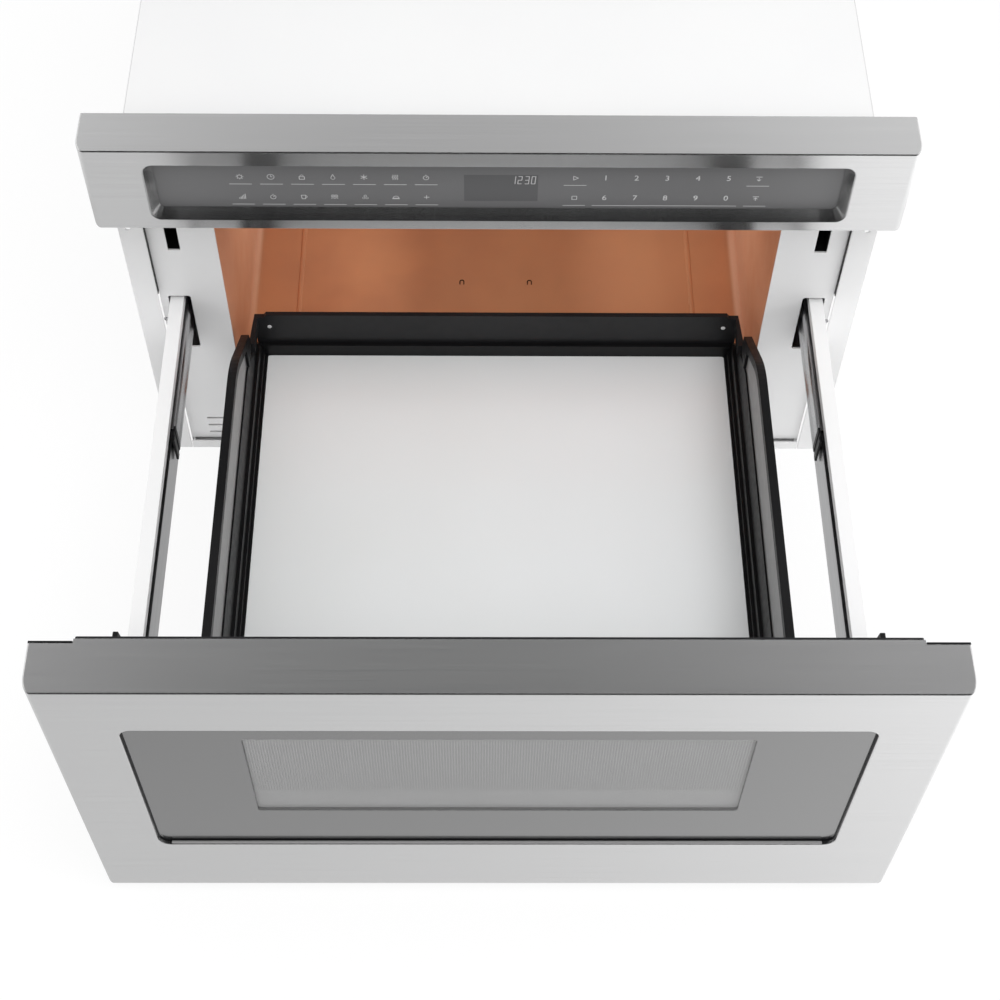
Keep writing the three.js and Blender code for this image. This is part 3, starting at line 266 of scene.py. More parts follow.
FINISHES = {
    "stainless": brushed_steel("stainless", (0.64, 0.64, 0.643), 0.26),
    "bright_steel": rolled_steel("bright_steel", (0.6, 0.6, 0.61), 0.24),
    # Painted shade: a darker copy of the bright slide steel, for the drawer member's web in the shade of
    # its channel.
    "shaded_slide_steel": rolled_steel("shaded_slide_steel", (0.2, 0.2, 0.205), 0.3),
    "galvanised": sheet_steel("galvanised", (0.62, 0.63, 0.64), 0.42),
    "motor_steel": sheet_steel("motor_steel", (0.45, 0.45, 0.46), 0.4),
    "transformer_iron": moulded("transformer_iron", (0.12, 0.12, 0.12), 0.5),
    "aluminium": sheet_steel("aluminium", (0.75, 0.75, 0.76), 0.35),
    "white_paint": powder_coat("white_paint", (0.8, 0.8, 0.8), 0.42),
    "shaded_cover_paint": shaded_cover_paint("shaded_cover_paint", (0.745, 0.745, 0.745), 0.45),
    "grey_paint": powder_coat("grey_paint", (0.26, 0.26, 0.26), 0.35),
    "black_enamel": moulded("black_enamel", (0.011, 0.011, 0.012), 0.4, Specular_IOR_Level=0.28),
    # The copper colour is painted light: the cavity lamp's warm glow on a steel liner, put into the
    # colour.
    "copper_liner": warm_lit_liner("copper_liner", (0.55, 0.25, 0.135), 0.36),
    "black_plastic": moulded("black_plastic", (0.006, 0.006, 0.0065), 0.42, Specular_IOR_Level=0.2),
    "control_glass": printed_glass("control_glass", (0.142, 0.142, 0.144), 0.4),
    "drawer_glass": printed_glass("drawer_glass", (0.014, 0.014, 0.015), 0.16, IOR=2.5),
    "white_glass": printed_glass("white_glass", (0.76, 0.775, 0.775), 0.16),
    "screen": sheet_steel("screen", (0.4, 0.4, 0.4), 0.45),
    "circuit_board": moulded("circuit_board", (0.03, 0.12, 0.05), 0.5),
    "mica": moulded("mica", (0.45, 0.38, 0.27), 0.7),
    "lamp": printed_glass("lamp", (0.9, 0.85, 0.7), 0.3),
    "clear_glass": clear_glass("clear_glass", (0.2, 0.2, 0.2), 0.08, 0.22),
    "print": powder_coat("print", (0.62, 0.62, 0.62), 0.5),
    "window_print": powder_coat("window_print", (0.5, 0.5, 0.5), 0.4),
    "display": printed_glass("display", (0.095, 0.095, 0.097), 0.35),
    "window_line": powder_coat("window_line", (0.62, 0.62, 0.62), 0.4),
}


def dress(item, finish):
    item.data.materials.clear()
    item.data.materials.append(FINISHES[finish].material)


# ---------------------------------------------------------------- mesh tools, in millimetres

def arc(centre, radii, start, end, steps):
    """Points of an elliptical arc, angles in degrees."""
    turns = [math.radians(start + (end - start) * i / steps) for i in range(steps + 1)]
    return [(centre[0] + radii[0] * math.cos(t), centre[1] + radii[1] * math.sin(t)) for t in turns]


def rounded(u, v, radius, steps=8):
    """A rounded rectangle, from its two spans."""
    r = (radius, radius)
    return (
        arc((u[1] - radius, v[1] - radius), r, 0, 90, steps)
        + arc((u[0] + radius, v[1] - radius), r, 90, 180, steps)
        + arc((u[0] + radius, v[0] + radius), r, 180, 270, steps)
        + arc((u[1] - radius, v[0] + radius), r, 270, 360, steps)
    )


def grown(span, amount):
    return (span[0] - amount, span[1] + amount)


AXES = {
    "x": lambda u, v, level: (level, u, v),
    "y": lambda u, v, level: (u, level, v),
    "z": lambda u, v, level: (u, v, level),
}


def loft(name, axis, rings):
    """A closed solid through outlines of the same length, each at its own level along an axis."""
    mesh = bmesh.new()
    put = AXES[axis]
    rows = []
    for level, outline in rings:
        rows.append([mesh.verts.new(Vector(put(u, v, level)) * MM) for u, v in outline])
    count = len(rows[0])
    for low, high in zip(rows, rows[1:]):
        for i in range(count):
            j = (i + 1) % count
            mesh.faces.new((low[i], low[j], high[j], high[i]))
    mesh.faces.new(rows[0])
    mesh.faces.new(rows[-1])
    return from_bmesh(name, mesh)


def from_bmesh(name, mesh):
    bmesh.ops.recalc_face_normals(mesh, faces=mesh.faces)
    data = bpy.data.meshes.new(name)
    mesh.to_mesh(data)
    mesh.free()
    item = bpy.data.objects.new(name, data)
    bpy.context.scene.collection.objects.link(item)
    return item


def prism(name, axis, outline, span):
    return loft(name, axis, [(span[0], outline), (span[1], outline)])


def block(name, x, y, z):
    return prism(name, "z", [(x[0], y[0]), (x[1], y[0]), (x[1], y[1]), (x[0], y[1])], z)


def bake(item):
    """Replaces the mesh by what its modifiers make of it."""
    graph = bpy.context.evaluated_depsgraph_get()
    graph.update()
    made = bpy.data.meshes.new_from_object(item.evaluated_get(graph))
    item.modifiers.clear()
    old = item.data
    item.data = made
    bpy.data.meshes.remove(old)
    return item


def combine(operation, first, others):
    for other in others:
        step = first.modifiers.new("combine", "BOOLEAN")
        step.operation = operation
        step.solver = "EXACT"
        step.object = other
    bake(first)
    for other in others:
        bpy.data.objects.remove(other)
    return first


def join(first, *others):
    return combine("UNION", first, others)


def cut(first, *others):
    return combine("DIFFERENCE", first, others)


def bevel(item, width, segments=3, angle=35):
    step = item.modifiers.new("bevel", "BEVEL")
    step.width = width * MM
    step.segments = segments
    step.limit_method = "ANGLE"
    step.angle_limit = math.radians(angle)
    return bake(item)


def merge(name, items):
    """Puts separate solids into one piece."""
    mesh = bmesh.new()
    for item in items:
        mesh.from_mesh(item.data)
        bpy.data.objects.remove(item)
    bmesh.ops.remove_doubles(mesh, verts=mesh.verts, dist=0.0001 * MM)
    return from_bmesh(name, mesh)


SMOOTH_ANGLE = 32


def piece(item, body, slot, replaces=(), finish=None):
    """Dresses a new piece and hands it to its body."""
    item.data.shade_smooth()
    item.data.set_sharp_from_angle(angle=math.radians(SMOOTH_ANGLE))
    weighted = item.modifiers.new("normals", "WEIGHTED_NORMAL")
    weighted.keep_sharp = True
    dress(item, finish or slot)
    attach(item, body)
    if replaces:
        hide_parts(*replaces)
    return item


def spans(node):
    """A node's three spans in millimetres."""
    low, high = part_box(node)
    return [(a / MM, b / MM) for a, b in zip(low, high)]


def side(sign, inner, outer):
    return (inner, outer) if sign > 0 else (-outer, -inner)


def near_and_far(node):
    """A node's distances from the centre plane and its heights."""
    x, _, z = spans(node)
    return sorted(abs(v) for v in x), z


SIDES = (("left", -1), ("right", 1))


# ---------------------------------------------------------------- carried-over nodes

WELD = 0.002 * MM
NODE_EDGE = 0.35 * MM
FLAT_ANGLE = 1
EDGE_ANGLE = 40


def soften(item):
    """Joins coplanar faces and rounds the edges, on top of the unchanged mesh."""
    whole = item.modifiers.new("whole", "WELD")
    whole.merge_threshold = WELD
    flat = item.modifiers.new("flat", "DECIMATE")
    flat.decimate_type = "DISSOLVE"
    flat.angle_limit = math.radians(FLAT_ANGLE)
    edge = item.modifiers.new("edge", "BEVEL")
    edge.width = NODE_EDGE
    edge.segments = 2
    edge.limit_method = "ANGLE"
    edge.angle_limit = math.radians(EDGE_ANGLE)
    edge.harden_normals = True


def dress_nodes():
    for part in frame["record"]["subparts"]:
        item = NODES[part["node"]]
        dress(item, part["material_slot"])
        soften(item)
    for node in ("wrap_cover", "rear_cover"):
        dress(NODES[node], "shaded_cover_paint")


dress_nodes()


# ---------------------------------------------------------------- stainless fronts

SHEET = 1.2
CORNER_ACROSS = 6.5
CORNER_DEEP = 14
CORNER_STEPS = 12
FRONT_EDGE = 1.1
# How far the shell is drawn past its rear, and a cutter past what it cuts.
SPARE = 4
CUT = 1


def front_plan(half, face, rear, inset=0.0):
    """A front seen from above: its vertical corners are quarter ellipses."""
    across = CORNER_ACROSS - inset
    deep = CORNER_DEEP - inset
    x = half - inset
    y = face + inset
    left = arc((-x + across, y + deep), (across, deep), 180, 270, CORNER_STEPS)
    right = arc((x - across, y + deep), (across, deep), 270, 360, CORNER_STEPS)
    return [(-x, rear), *left, *right, (x, rear)]


def front_shell(name, node, rear):
    """A node's folded sheet front, hollow and open at the rear."""
    x, y, z = spans(node)
    shell = prism(name, "z", front_plan(x[1], y[0], rear + SPARE), z)
    bevel(shell, FRONT_EDGE)
    inside = front_plan(x[1], y[0], rear + CUT, SHEET)
    room = prism("room", "z", inside, grown(z, -SHEET))
    behind = block("behind", grown(x, CUT), (rear, rear + SPARE + CUT), grown(z, CUT))
    return cut(shell, room, behind)


FLARE_STEPS = 4


def flared(name, across, up, radius, face, depth, flare):
    """A cutter for an opening with a rounded front edge."""
    rings = [(face - CUT, rounded(grown(across, flare), grown(up, flare), radius + flare))]
    for i in range(FLARE_STEPS + 1):
        turn = math.radians(90 * i / FLARE_STEPS)
        grow = flare * (1 - math.sin(turn))
        level = face + flare * (1 - math.cos(turn))
        rings.append((level, rounded(grown(across, grow), grown(up, grow), radius + grow)))
    rings.append((face + depth, rounded(across, up, radius)))
    return loft(name, "y", rings)


WINDOW_RADIUS = 9
WINDOW_RECESS = 2.4
WINDOW_FLARE = 0.8
# How far the glass goes on behind the steel, all round.
GLASS_REACH = 5
TONGUE_MARGIN = 0.3


def drawer_front():
    """The drawer's steel front: a shell with a tongue over the trim and a collar round the window."""
    _, y, z = spans("drawer_skin")
    glass = spans("drawer_glass")
    window = grown(glass[0], -GLASS_REACH)
    height = grown(glass[2], -GLASS_REACH)
    plate = spans("inner_plate")
    trim = spans("back_trim")
    skin = front_shell("drawer_front_skin", "drawer_skin", trim[1][0])
    tongue_deep = (trim[1][0] - CUT, y[1])
    tongue = block("tongue", grown(plate[0], TONGUE_MARGIN), tongue_deep, (z[1] - SHEET, z[1]))
    collar = prism(
        "collar", "y",
        rounded(grown(window, SHEET), grown(height, SHEET), WINDOW_RADIUS + SHEET),
        (y[0] + SHEET / 2, y[0] + WINDOW_RECESS),
    )
    join(skin, tongue, collar)
    cut(skin, flared("opening", window, height, WINDOW_RADIUS, y[0], WINDOW_RECESS + CUT, WINDOW_FLARE))
    piece(skin, "drawer", "stainless", ["drawer_skin"])


RECESS_ACROSS = 257
RECESS_LOW = 10
RECESS_HEIGHT = 56
RECESS_DEPTH = 9
RECESS_BEVEL = (5.5, 4.5)
RECESS_RADIUS = 8
RECESS_INNER_RADIUS = 5
RECESS_FLARE = 0.7
# At this share of the flare's depth, the same share of its width is left.
RECESS_SLIGHT = 0.3
RECESS_LIP = 0.2
RECESS_LAND = 0.4
SURROUND_UP = (1, 74)


def control_front():
    """The panel's steel front, with a bevelled recess down to its glass."""
    _, y, z = spans("control_trim")
    across = (-RECESS_ACROSS, RECESS_ACROSS)
    up = (z[0] + RECESS_LOW, z[0] + RECESS_LOW + RECESS_HEIGHT)
    trim = front_shell("control_panel_trim", "control_trim", y[1])
    surround = block(
        "surround",
        grown(across, RECESS_BEVEL[0] + GLASS_REACH),
        (y[0] + SHEET / 2, y[0] + RECESS_DEPTH),
        (z[0] + SURROUND_UP[0], z[0] + SURROUND_UP[1]),
    )
    join(trim, surround)
    flare = RECESS_FLARE
    slight = flare * RECESS_SLIGHT
    inner_across = (across[0] + RECESS_BEVEL[0], across[1] - RECESS_BEVEL[0])
    inner_up = (up[0] + RECESS_BEVEL[1], up[1] - RECESS_BEVEL[1])
    inner = rounded(inner_across, inner_up, RECESS_INNER_RADIUS)
    wide = rounded(grown(across, flare), grown(up, flare), RECESS_RADIUS + flare)
    rings = [
        (y[0] - CUT, wide),
        (y[0], wide),
        (y[0] + slight, rounded(grown(across, slight), grown(up, slight), RECESS_RADIUS)),
        (y[0] + flare, rounded(grown(across, -RECESS_LIP), grown(up, -RECESS_LIP), RECESS_RADIUS)),
        (y[0] + RECESS_DEPTH - RECESS_LAND, inner),
        (y[0] + RECESS_DEPTH + CUT, inner),
    ]
    cut(trim, loft("recess", "y", rings))
    piece(trim, "body", "stainless", ["control_trim"])


drawer_front()
control_front()


# ---------------------------------------------------------------- drawer window

SCREEN_RADIUS = 3
# How far the clear pane lies inside the screen's edges, across and up.
SCREEN_REACH = (11.2, 12)
PANE_GAP = 0.05
PANE_SHEET = 1.2
# Depths behind the glass's front.
LINE_DEPTHS = (2.1, 2.5)
BACKING_DEPTH = 2.6
LINE_PITCH = 1.9
LINE_FOOT = 30
LINE_HEAD = 1
# A line's half width at its foot and at its head.
LINE_HALVES = (0.15, 0.48)
BLACK_RING_WIDTH = 0.8
BLACK_RING_RADIUS = 8
BLACK_RING_LAP = 0.3
BLACK_RING_GAP = 0.02
SILL_DEPTH = 0.5
SILL_HEIGHT = 1.7
SILL_GAP = 0.01
SILL_EDGE = 0.4


def ring_prism(name, outer, inner, span):
    """A frame between two outlines of the same length."""
    mesh = bmesh.new()
    rows = []
    for level, outline in ((span[0], inner), (span[0], outer), (span[1], outer), (span[1], inner)):
        rows.append([mesh.verts.new(Vector((u, level, v)) * MM) for u, v in outline])
    count = len(outer)
    for a, b in zip(rows, rows[1:] + rows[:1]):
        for i in range(count):
            j = (i + 1) % count
            mesh.faces.new((a[i], a[j], b[j], b[i]))
    return from_bmesh(name, mesh)


def window_lines(across, up, front):
    """Upright lines over the clear pane, each wider at its head than at its foot."""
    foot = up[0] + LINE_FOOT
    head = up[1] - LINE_HEAD
    low, high = LINE_HALVES
    deep = (front + LINE_DEPTHS[0], front + LINE_DEPTHS[1])
    lines = []
    for i in range(int((across[1] - across[0]) / LINE_PITCH)):
        x = across[0] + LINE_PITCH * (i + 0.5)
        outline = [(x - low, foot), (x + low, foot), (x + high, head), (x - high, head)]
        lines.append(prism("line", "y", outline, deep))
    piece(merge("window_lines", lines), "drawer", "screen", finish="window_line")


def drawer_window():
    """The glass: an opaque printed border round a clear pane, with lines and a pale print behind it."""
    across, deep, up = spans("drawer_glass")
    screen = spans("window_screen")
    clear = grown(screen[0], -SCREEN_REACH[0])
    clear_up = grown(screen[2], -SCREEN_REACH[1])
    opening = rounded(clear, clear_up, SCREEN_RADIUS)
    border = ring_prism("window_glass", rounded(across, up, WINDOW_RADIUS), opening, deep)
    piece(border, "drawer", "drawer_glass", ["drawer_glass"])
    outline = rounded(grown(clear, -PANE_GAP), grown(clear_up, -PANE_GAP), SCREEN_RADIUS)
    pane = prism("window_pane", "y", outline, (deep[0], deep[0] + PANE_SHEET))
    piece(pane, "drawer", "drawer_glass", finish="clear_glass")
    backing = prism("window_backing", "y", outline, (deep[0] + BACKING_DEPTH, deep[1]))
    piece(backing, "drawer", "screen", finish="window_print")
    window_lines(clear, clear_up, deep[0])


def window_edge():
    """The black ring between the steel and the glass, and the sill along the opening's foot: a painted
    reflection, grey where the steel lip reflects grey.
    """
    across, deep, up = spans("drawer_glass")
    face = spans("drawer_skin")[1][0]
    seen = grown(across, -GLASS_REACH)
    seen_up = grown(up, -GLASS_REACH)
    black_ring = ring_prism(
        "window_black_ring",
        rounded(grown(seen, BLACK_RING_LAP), grown(seen_up, BLACK_RING_LAP), WINDOW_RADIUS),
        rounded(grown(seen, -BLACK_RING_WIDTH), grown(seen_up, -BLACK_RING_WIDTH), BLACK_RING_RADIUS),
        (face + WINDOW_RECESS + BLACK_RING_GAP, deep[0] - BLACK_RING_GAP),
    )
    piece(black_ring, "drawer", "black_plastic")
    # Painted reflection: a matt grey sill where the steel lip shows a grey reflection.
    reflection_sill = block(
        "window_sill_painted_reflection",
        grown(seen, -WINDOW_RADIUS),
        (face + SILL_DEPTH, face + WINDOW_RECESS),
        (seen_up[0] + SILL_GAP, seen_up[0] + SILL_HEIGHT),
    )
    bevel(reflection_sill, SILL_EDGE, 2)
    piece(reflection_sill, "drawer", "grey_paint")


drawer_window()
window_edge()


# ---------------------------------------------------------------- control glass, keys and display

TOUCH_RADIUS = 4
TOUCH_EDGE = 0.3
KEY_LEFT = -189.5
KEY_PITCH = 22.65
KEY_ROWS = (383.8, 363.0)
UNDERLINES = (376.2, 354.9)
UNDERLINE_HALF = 8.2
UNDERLINE_STROKE = 0.45
START_X = 55.6
OPEN_X = 189.9
NUMBER_LEFT = 77.8
NUMBER_PITCH = 22.5
NUMBERS_PER_ROW = 5
NUMBER_HEIGHT = 5.4
# The font's size for a digit of height 1, and how much the number's relief is flattened.
FONT_SIZE = 1.35
NUMBER_RELIEF = 0.8
# The long line under the lower row of numbers.
NUMBER_LINE = (69, 176.3)
ICON = 2.7
STROKE = 0.5
# How far a bar goes on past its ends, in half widths.
BAR_END = 0.5
# How far the faces of the prints stand before the glass, and the gap behind all of them.
PRINT = 0.06
LINE_PRINT = 0.04
DISPLAY_PRINT = 0.03
DIGIT_PRINT = 0.07
PRINT_GAP = 0.01


def stroke(points, width):
    """Flat bars from point to point, in X and Z."""
    bars = []
    for (x0, z0), (x1, z1) in zip(points, points[1:]):
        long = Vector((x1 - x0, z1 - z0))
        along = long.normalized() * width / 2
        off = Vector((-along.y, along.x))
        a = Vector((x0, z0)) - along * BAR_END
        b = Vector((x1, z1)) + along * BAR_END
        bars.append([tuple(a - off), tuple(b - off), tuple(b + off), tuple(a + off)])
    return bars


def ring_points(radius, centre=(0, 0), start=0, end=360, steps=14):
    return arc(centre, (radius, radius), start, end, steps)


def spoke(inner, outer, angle):
    turn = math.radians(angle)
    return [(radius * math.cos(turn), radius * math.sin(turn)) for radius in (inner, outer)]


# Each icon is a list of open lines, on a square from -1 to 1.

def icon_cog():
    return [ring_points(0.6), *[spoke(0.7, 1.0, angle) for angle in range(0, 360, 45)]]


def icon_clock():
    return [ring_points(0.95), [(0, 0.6), (0, 0), (0.45, 0)]]


def icon_lock():
    case = [(-0.7, -0.9), (0.7, -0.9), (0.7, 0.1), (-0.7, 0.1), (-0.7, -0.9)]
    return [case, ring_points(0.45, (0, 0.3), 0, 180, 8)]


def icon_drop():
    return [[(0, 1), *ring_points(0.55, (0, -0.35), 30, -210, 12), (0, 1)]]


def icon_flake():
    return [spoke(0.95, -0.95, angle) for angle in (30, 90, 150)]


def icon_steam():
    wave = [(0, -0.9), (0.2, -0.5), (-0.2, 0), (0.2, 0.5), (0, 0.9)]
    return [[(x + s, z) for x, z in wave] for s in (-0.6, 0, 0.6)]


def icon_timer():
    return [ring_points(0.75, (0, -0.15)), [(0, 0.6), (0, 1)], [(0, -0.15), (0.35, 0.25)]]


def icon_bars():
    return [[(x, -0.9), (x, -0.4 + 0.35 * i)] for i, x in enumerate((-0.8, -0.4, 0, 0.4, 0.8))]


def icon_cup():
    cup = [(-0.7, 0.6), (-0.55, -0.8), (0.4, -0.8), (0.55, 0.6), (-0.7, 0.6)]
    return [cup, ring_points(0.35, (0.55, 0), -80, 80, 6)]


def icon_waves():
    row = [(-0.9, 0), (-0.45, 0.3), (0, 0), (0.45, 0.3), (0.9, 0)]
    return [[(x, z + s) for x, z in row] for s in (-0.6, 0, 0.5)]


def icon_kernels():
    return [ring_points(0.35, c, steps=9) for c in ((-0.45, -0.4), (0.45, -0.4), (0, 0.4))]


def icon_bell():
    return [ring_points(0.8, (0, -0.4), 0, 180, 8) + [(0.8, -0.4)], [(-1, -0.65), (1, -0.65)]]


def icon_plus():
    return [[(-0.7, 0), (0.7, 0)], [(0, -0.7), (0, 0.7)]]


def icon_start():
    return [[(-0.5, -0.75), (0.8, 0), (-0.5, 0.75), (-0.5, -0.75)]]


def icon_stop():
    return [[(-0.65, -0.65), (0.65, -0.65), (0.65, 0.65), (-0.65, 0.65), (-0.65, -0.65)]]


def icon_open():
    return [[(-0.8, 0.7), (0.8, 0.7)], [(0, 0.3), (0, -0.8)], [(-0.5, -0.3), (0, -0.8), (0.5, -0.3)]]


def icon_close():
    return [[(-0.8, 0.7), (0.8, 0.7)], [(0, -0.8), (0, 0.3)], [(-0.5, -0.2), (0, 0.3), (0.5, -0.2)]]


LEFT_ICONS = (
    (icon_cog, icon_clock, icon_lock, icon_drop, icon_flake, icon_steam, icon_timer),
    (icon_bars, icon_timer, icon_cup, icon_waves, icon_kernels, icon_bell, icon_plus),
)
RIGHT_ICONS = ((START_X, icon_start, icon_stop), (OPEN_X, icon_open, icon_close))


def icon_keys():
    """Each key that has an icon: its place across, its row and the icon."""
    for row, icons in enumerate(LEFT_ICONS):
        for i, icon in enumerate(icons):
            yield KEY_LEFT + KEY_PITCH * i, row, icon
    for x, *icons in RIGHT_ICONS:
        for row, icon in enumerate(icons):
            yield x, row, icon


def underline(left, right, row):
    return stroke([(left, UNDERLINES[row]), (right, UNDERLINES[row])], UNDERLINE_STROKE)


def printed(name, bars, front, slot, finish, depth=PRINT):
    """Bars that stand just before the glass."""
    solids = [prism("bar", "y", bar, (front - depth, front - PRINT_GAP)) for bar in bars]
    piece(merge(name, solids), "body", slot, finish=finish)


def numerals(front):
    """The plain numbers 1 to 9 and 0 on their keys."""
    made = []
    for i, text in enumerate("1234567890"):
        data = bpy.data.curves.new("number", "FONT")
        data.body = text
        data.align_x = "CENTER"
        data.align_y = "CENTER"
        data.size = NUMBER_HEIGHT * MM * FONT_SIZE
        data.extrude = PRINT / 2 * MM
        data.resolution_u = 4
        item = bpy.data.objects.new("number", data)
        bpy.context.scene.collection.objects.link(item)
        bpy.context.view_layer.update()
        graph = bpy.context.evaluated_depsgraph_get()
        mesh = bpy.data.meshes.new_from_object(item.evaluated_get(graph))
        bpy.data.objects.remove(item)
        bpy.data.curves.remove(data)
        x = (NUMBER_LEFT + NUMBER_PITCH * (i % NUMBERS_PER_ROW)) * MM
        y = (front - PRINT / 2) * MM
        z = KEY_ROWS[i // NUMBERS_PER_ROW] * MM
        for vertex in mesh.vertices:
            flat = vertex.co.copy()
            vertex.co = Vector((flat.x + x, y - flat.z * NUMBER_RELIEF, flat.y + z))
        solid = bpy.data.objects.new("number", mesh)
        bpy.context.scene.collection.objects.link(solid)
        made.append(solid)
    piece(merge("key_numbers", made), "body", "white_paint", finish="print")


SEGMENTS = {
    "0": "abcdef", "1": "bc", "2": "abged", "3": "abgcd", "4": "fgbc",
    "5": "afgcd", "6": "afgedc", "7": "abc", "8": "abcdefg", "9": "abcdfg",
}
DIGITS = "1230"
DIGIT_WIDTH = 3.0
# The part of that width that lies between the centres of the upright bars.
DIGIT_SHARE = 0.88
DIGIT_HEIGHT = 7.6
DIGIT_LEAN = 0.08
DIGIT_STROKE = 0.55
DIGIT_PITCH = 4.7
DIGIT_LEFT = 8.6
DIGIT_LOW = 377.6
# Between the hours and the minutes, more than the pitch.
DIGIT_GAP = 0.5
DISPLAY_ACROSS = (-25.9, 28.4)
DISPLAY_UP = (359.3, 386.7)


def digit_bars(x, z, text):
    """A digit's seven-segment bars."""
    w, h, m = DIGIT_WIDTH, DIGIT_HEIGHT, DIGIT_HEIGHT / 2
    ends = {
        "a": ((0, h), (w, h)), "b": ((w, h), (w, m)), "c": ((w, m), (w, 0)), "d": ((0, 0), (w, 0)),
        "e": ((0, m), (0, 0)), "f": ((0, h), (0, m)), "g": ((0, m), (w, m)),
    }
    left = x + w * (1 - DIGIT_SHARE) / 2
    bars = []
    for name in SEGMENTS[text]:
        points = [(left + u * DIGIT_SHARE + v * DIGIT_LEAN, z + v) for u, v in ends[name]]
        bars += stroke(points, DIGIT_STROKE)
    return bars


def display(front):
    """The display's pane and its digits."""
    (left, right), (low, high) = DISPLAY_ACROSS, DISPLAY_UP
    window = [(left, low), (right, low), (right, high), (left, high)]
    printed("display_window", [window], front, "black_plastic", "display", DISPLAY_PRINT)
    bars = []
    for i, text in enumerate(DIGITS):
        gap = 0 if i < len(DIGITS) / 2 else DIGIT_GAP
        bars += digit_bars(DIGIT_LEFT + DIGIT_PITCH * i + gap, DIGIT_LOW, text)
    printed("display_digits", bars, front, "lamp", "print", DIGIT_PRINT)


def control_panel():
    """The touch glass with its printed icons, lines and numbers, and the display."""
    across, deep, up = spans("control_glass")
    front = deep[0]
    glass = prism("touch_glass", "y", rounded(across, up, TOUCH_RADIUS), deep)
    bevel(glass, TOUCH_EDGE, 2)
    piece(glass, "body", "control_glass", ["control_glass"])
    symbols = []
    lines = []
    for x, row, icon in icon_keys():
        for points in icon():
            symbols += stroke([(x + u * ICON, KEY_ROWS[row] + v * ICON) for u, v in points], STROKE)
        lines += underline(x - UNDERLINE_HALF, x + UNDERLINE_HALF, row)
    lines += underline(*NUMBER_LINE, 1)
    printed("key_symbols", symbols, front, "white_paint", "print")
    printed("key_lines", lines, front, "white_paint", "print", LINE_PRINT)
    numerals(front)
    display(front)


control_panel()


# ---------------------------------------------------------------- cavity, tray and frame details

LINER_SHEET = 1.2
LINER_FRONT = 6
LINER_CORNER = 8
BEAD_X = 178.5
BEAD_WIDTH = 4.5
BEAD_HEIGHT = 1.2
TAB_X = 31
TAB_Y = -147
TAB_RADIUS = 1.8
TAB_LEG = 3
TAB_STROKE = 0.9
TAB_RISE = 0.4
TAB_SUNK = 0.1
PIN_X = 193.5
PIN_DROP = 14.8
PIN_RADIUS = 1.9
# A pin's depths, and its radius at each as a share of the full one.
PIN_STEPS = ((0.0, 0.55), (0.35, 0.9), (0.9, 1.0), (1.3, 1.0))
REAR_WALL_SHEET = 4.2
SCREW_RADIUS = 2.4
SCREW_RISE = 0.9
# A screw head's rises and radii, as shares of the full ones.
SCREW_STEPS = ((-0.2, 1.0), (0.0, 1.0), (0.45, 0.9), (0.8, 0.65), (1.0, 0.3))
CROSS_LENGTH = 0.6
CROSS_WIDTH = 0.13
FRAME_SCREW = (275.2, 179)
FLANGE_GAP = 0.7
SEAM = (215, 333)
SEAM_CLEARANCE = 0.05
SEAM_LAP = 0.2
SEAM_SUNK = 1


def disc(radius, centre):
    return ring_points(radius, centre, steps=20)[:-1]


def screw_head(name, x, z, seat, body):
    """A pan-head screw with a cross recess, facing the front."""
    rings = [(seat - rise * SCREW_RISE, disc(SCREW_RADIUS * width, (x, z))) for rise, width in SCREW_STEPS]
    head = loft(name, "y", rings)
    long = SCREW_RADIUS * CROSS_LENGTH
    thin = SCREW_RADIUS * CROSS_WIDTH
    deep = (seat - SCREW_RISE * 2, seat - SCREW_RISE / 2)
    bars = [block("bar", (x - a, x + a), deep, (z - b, z + b)) for a, b in ((long, thin), (thin, long))]
    cut(head, *bars)
    piece(head, body, "bright_steel")


def cavity_details():
    """Two raised beads along the cavity's floor and two small tab slots between them."""
    y, z = spans("cavity_liner")[1:]
    floor = z[0] + LINER_SHEET
    rear = y[1] - LINER_SHEET - LINER_CORNER
    tab_up = (floor - TAB_SUNK, floor + TAB_RISE)
    for word, sign in SIDES:
        outline = arc((sign * BEAD_X, floor), (BEAD_WIDTH / 2, BEAD_HEIGHT), 0, 180, 8)
        bead = prism(f"cavity_bead_{word}", "y", outline, (y[0] + LINER_FRONT, rear))
        piece(bead, "body", "copper_liner")
        # The tab slots are drawn as black strokes raised on the floor: painted shade standing for the dark
        # inside the slots.
        x = sign * TAB_X
        hoop = ring_points(TAB_RADIUS, (x, TAB_Y), 0, 180, 10)
        line = [(x + TAB_RADIUS, TAB_Y - TAB_LEG), *hoop, (x - TAB_RADIUS, TAB_Y - TAB_LEG)]
        bars = [prism("bar", "z", bar, tab_up) for bar in stroke(line, TAB_STROKE)]
        piece(merge(f"cavity_tab_{word}", bars), "body", "black_plastic")


def tray_details():
    """Light pins in the rear wall's two holes."""
    y, z = spans("tray_rear_wall")[1:]
    front = y[1] - REAR_WALL_SHEET - PIN_STEPS[-2][0]
    for word, sign in SIDES:
        centre = (sign * PIN_X, z[1] - PIN_DROP)
        rings = [(front + deep, disc(PIN_RADIUS * width, centre)) for deep, width in PIN_STEPS]
        piece(loft(f"rear_wall_pin_{word}", "y", rings), "drawer", "white_paint", finish="print")


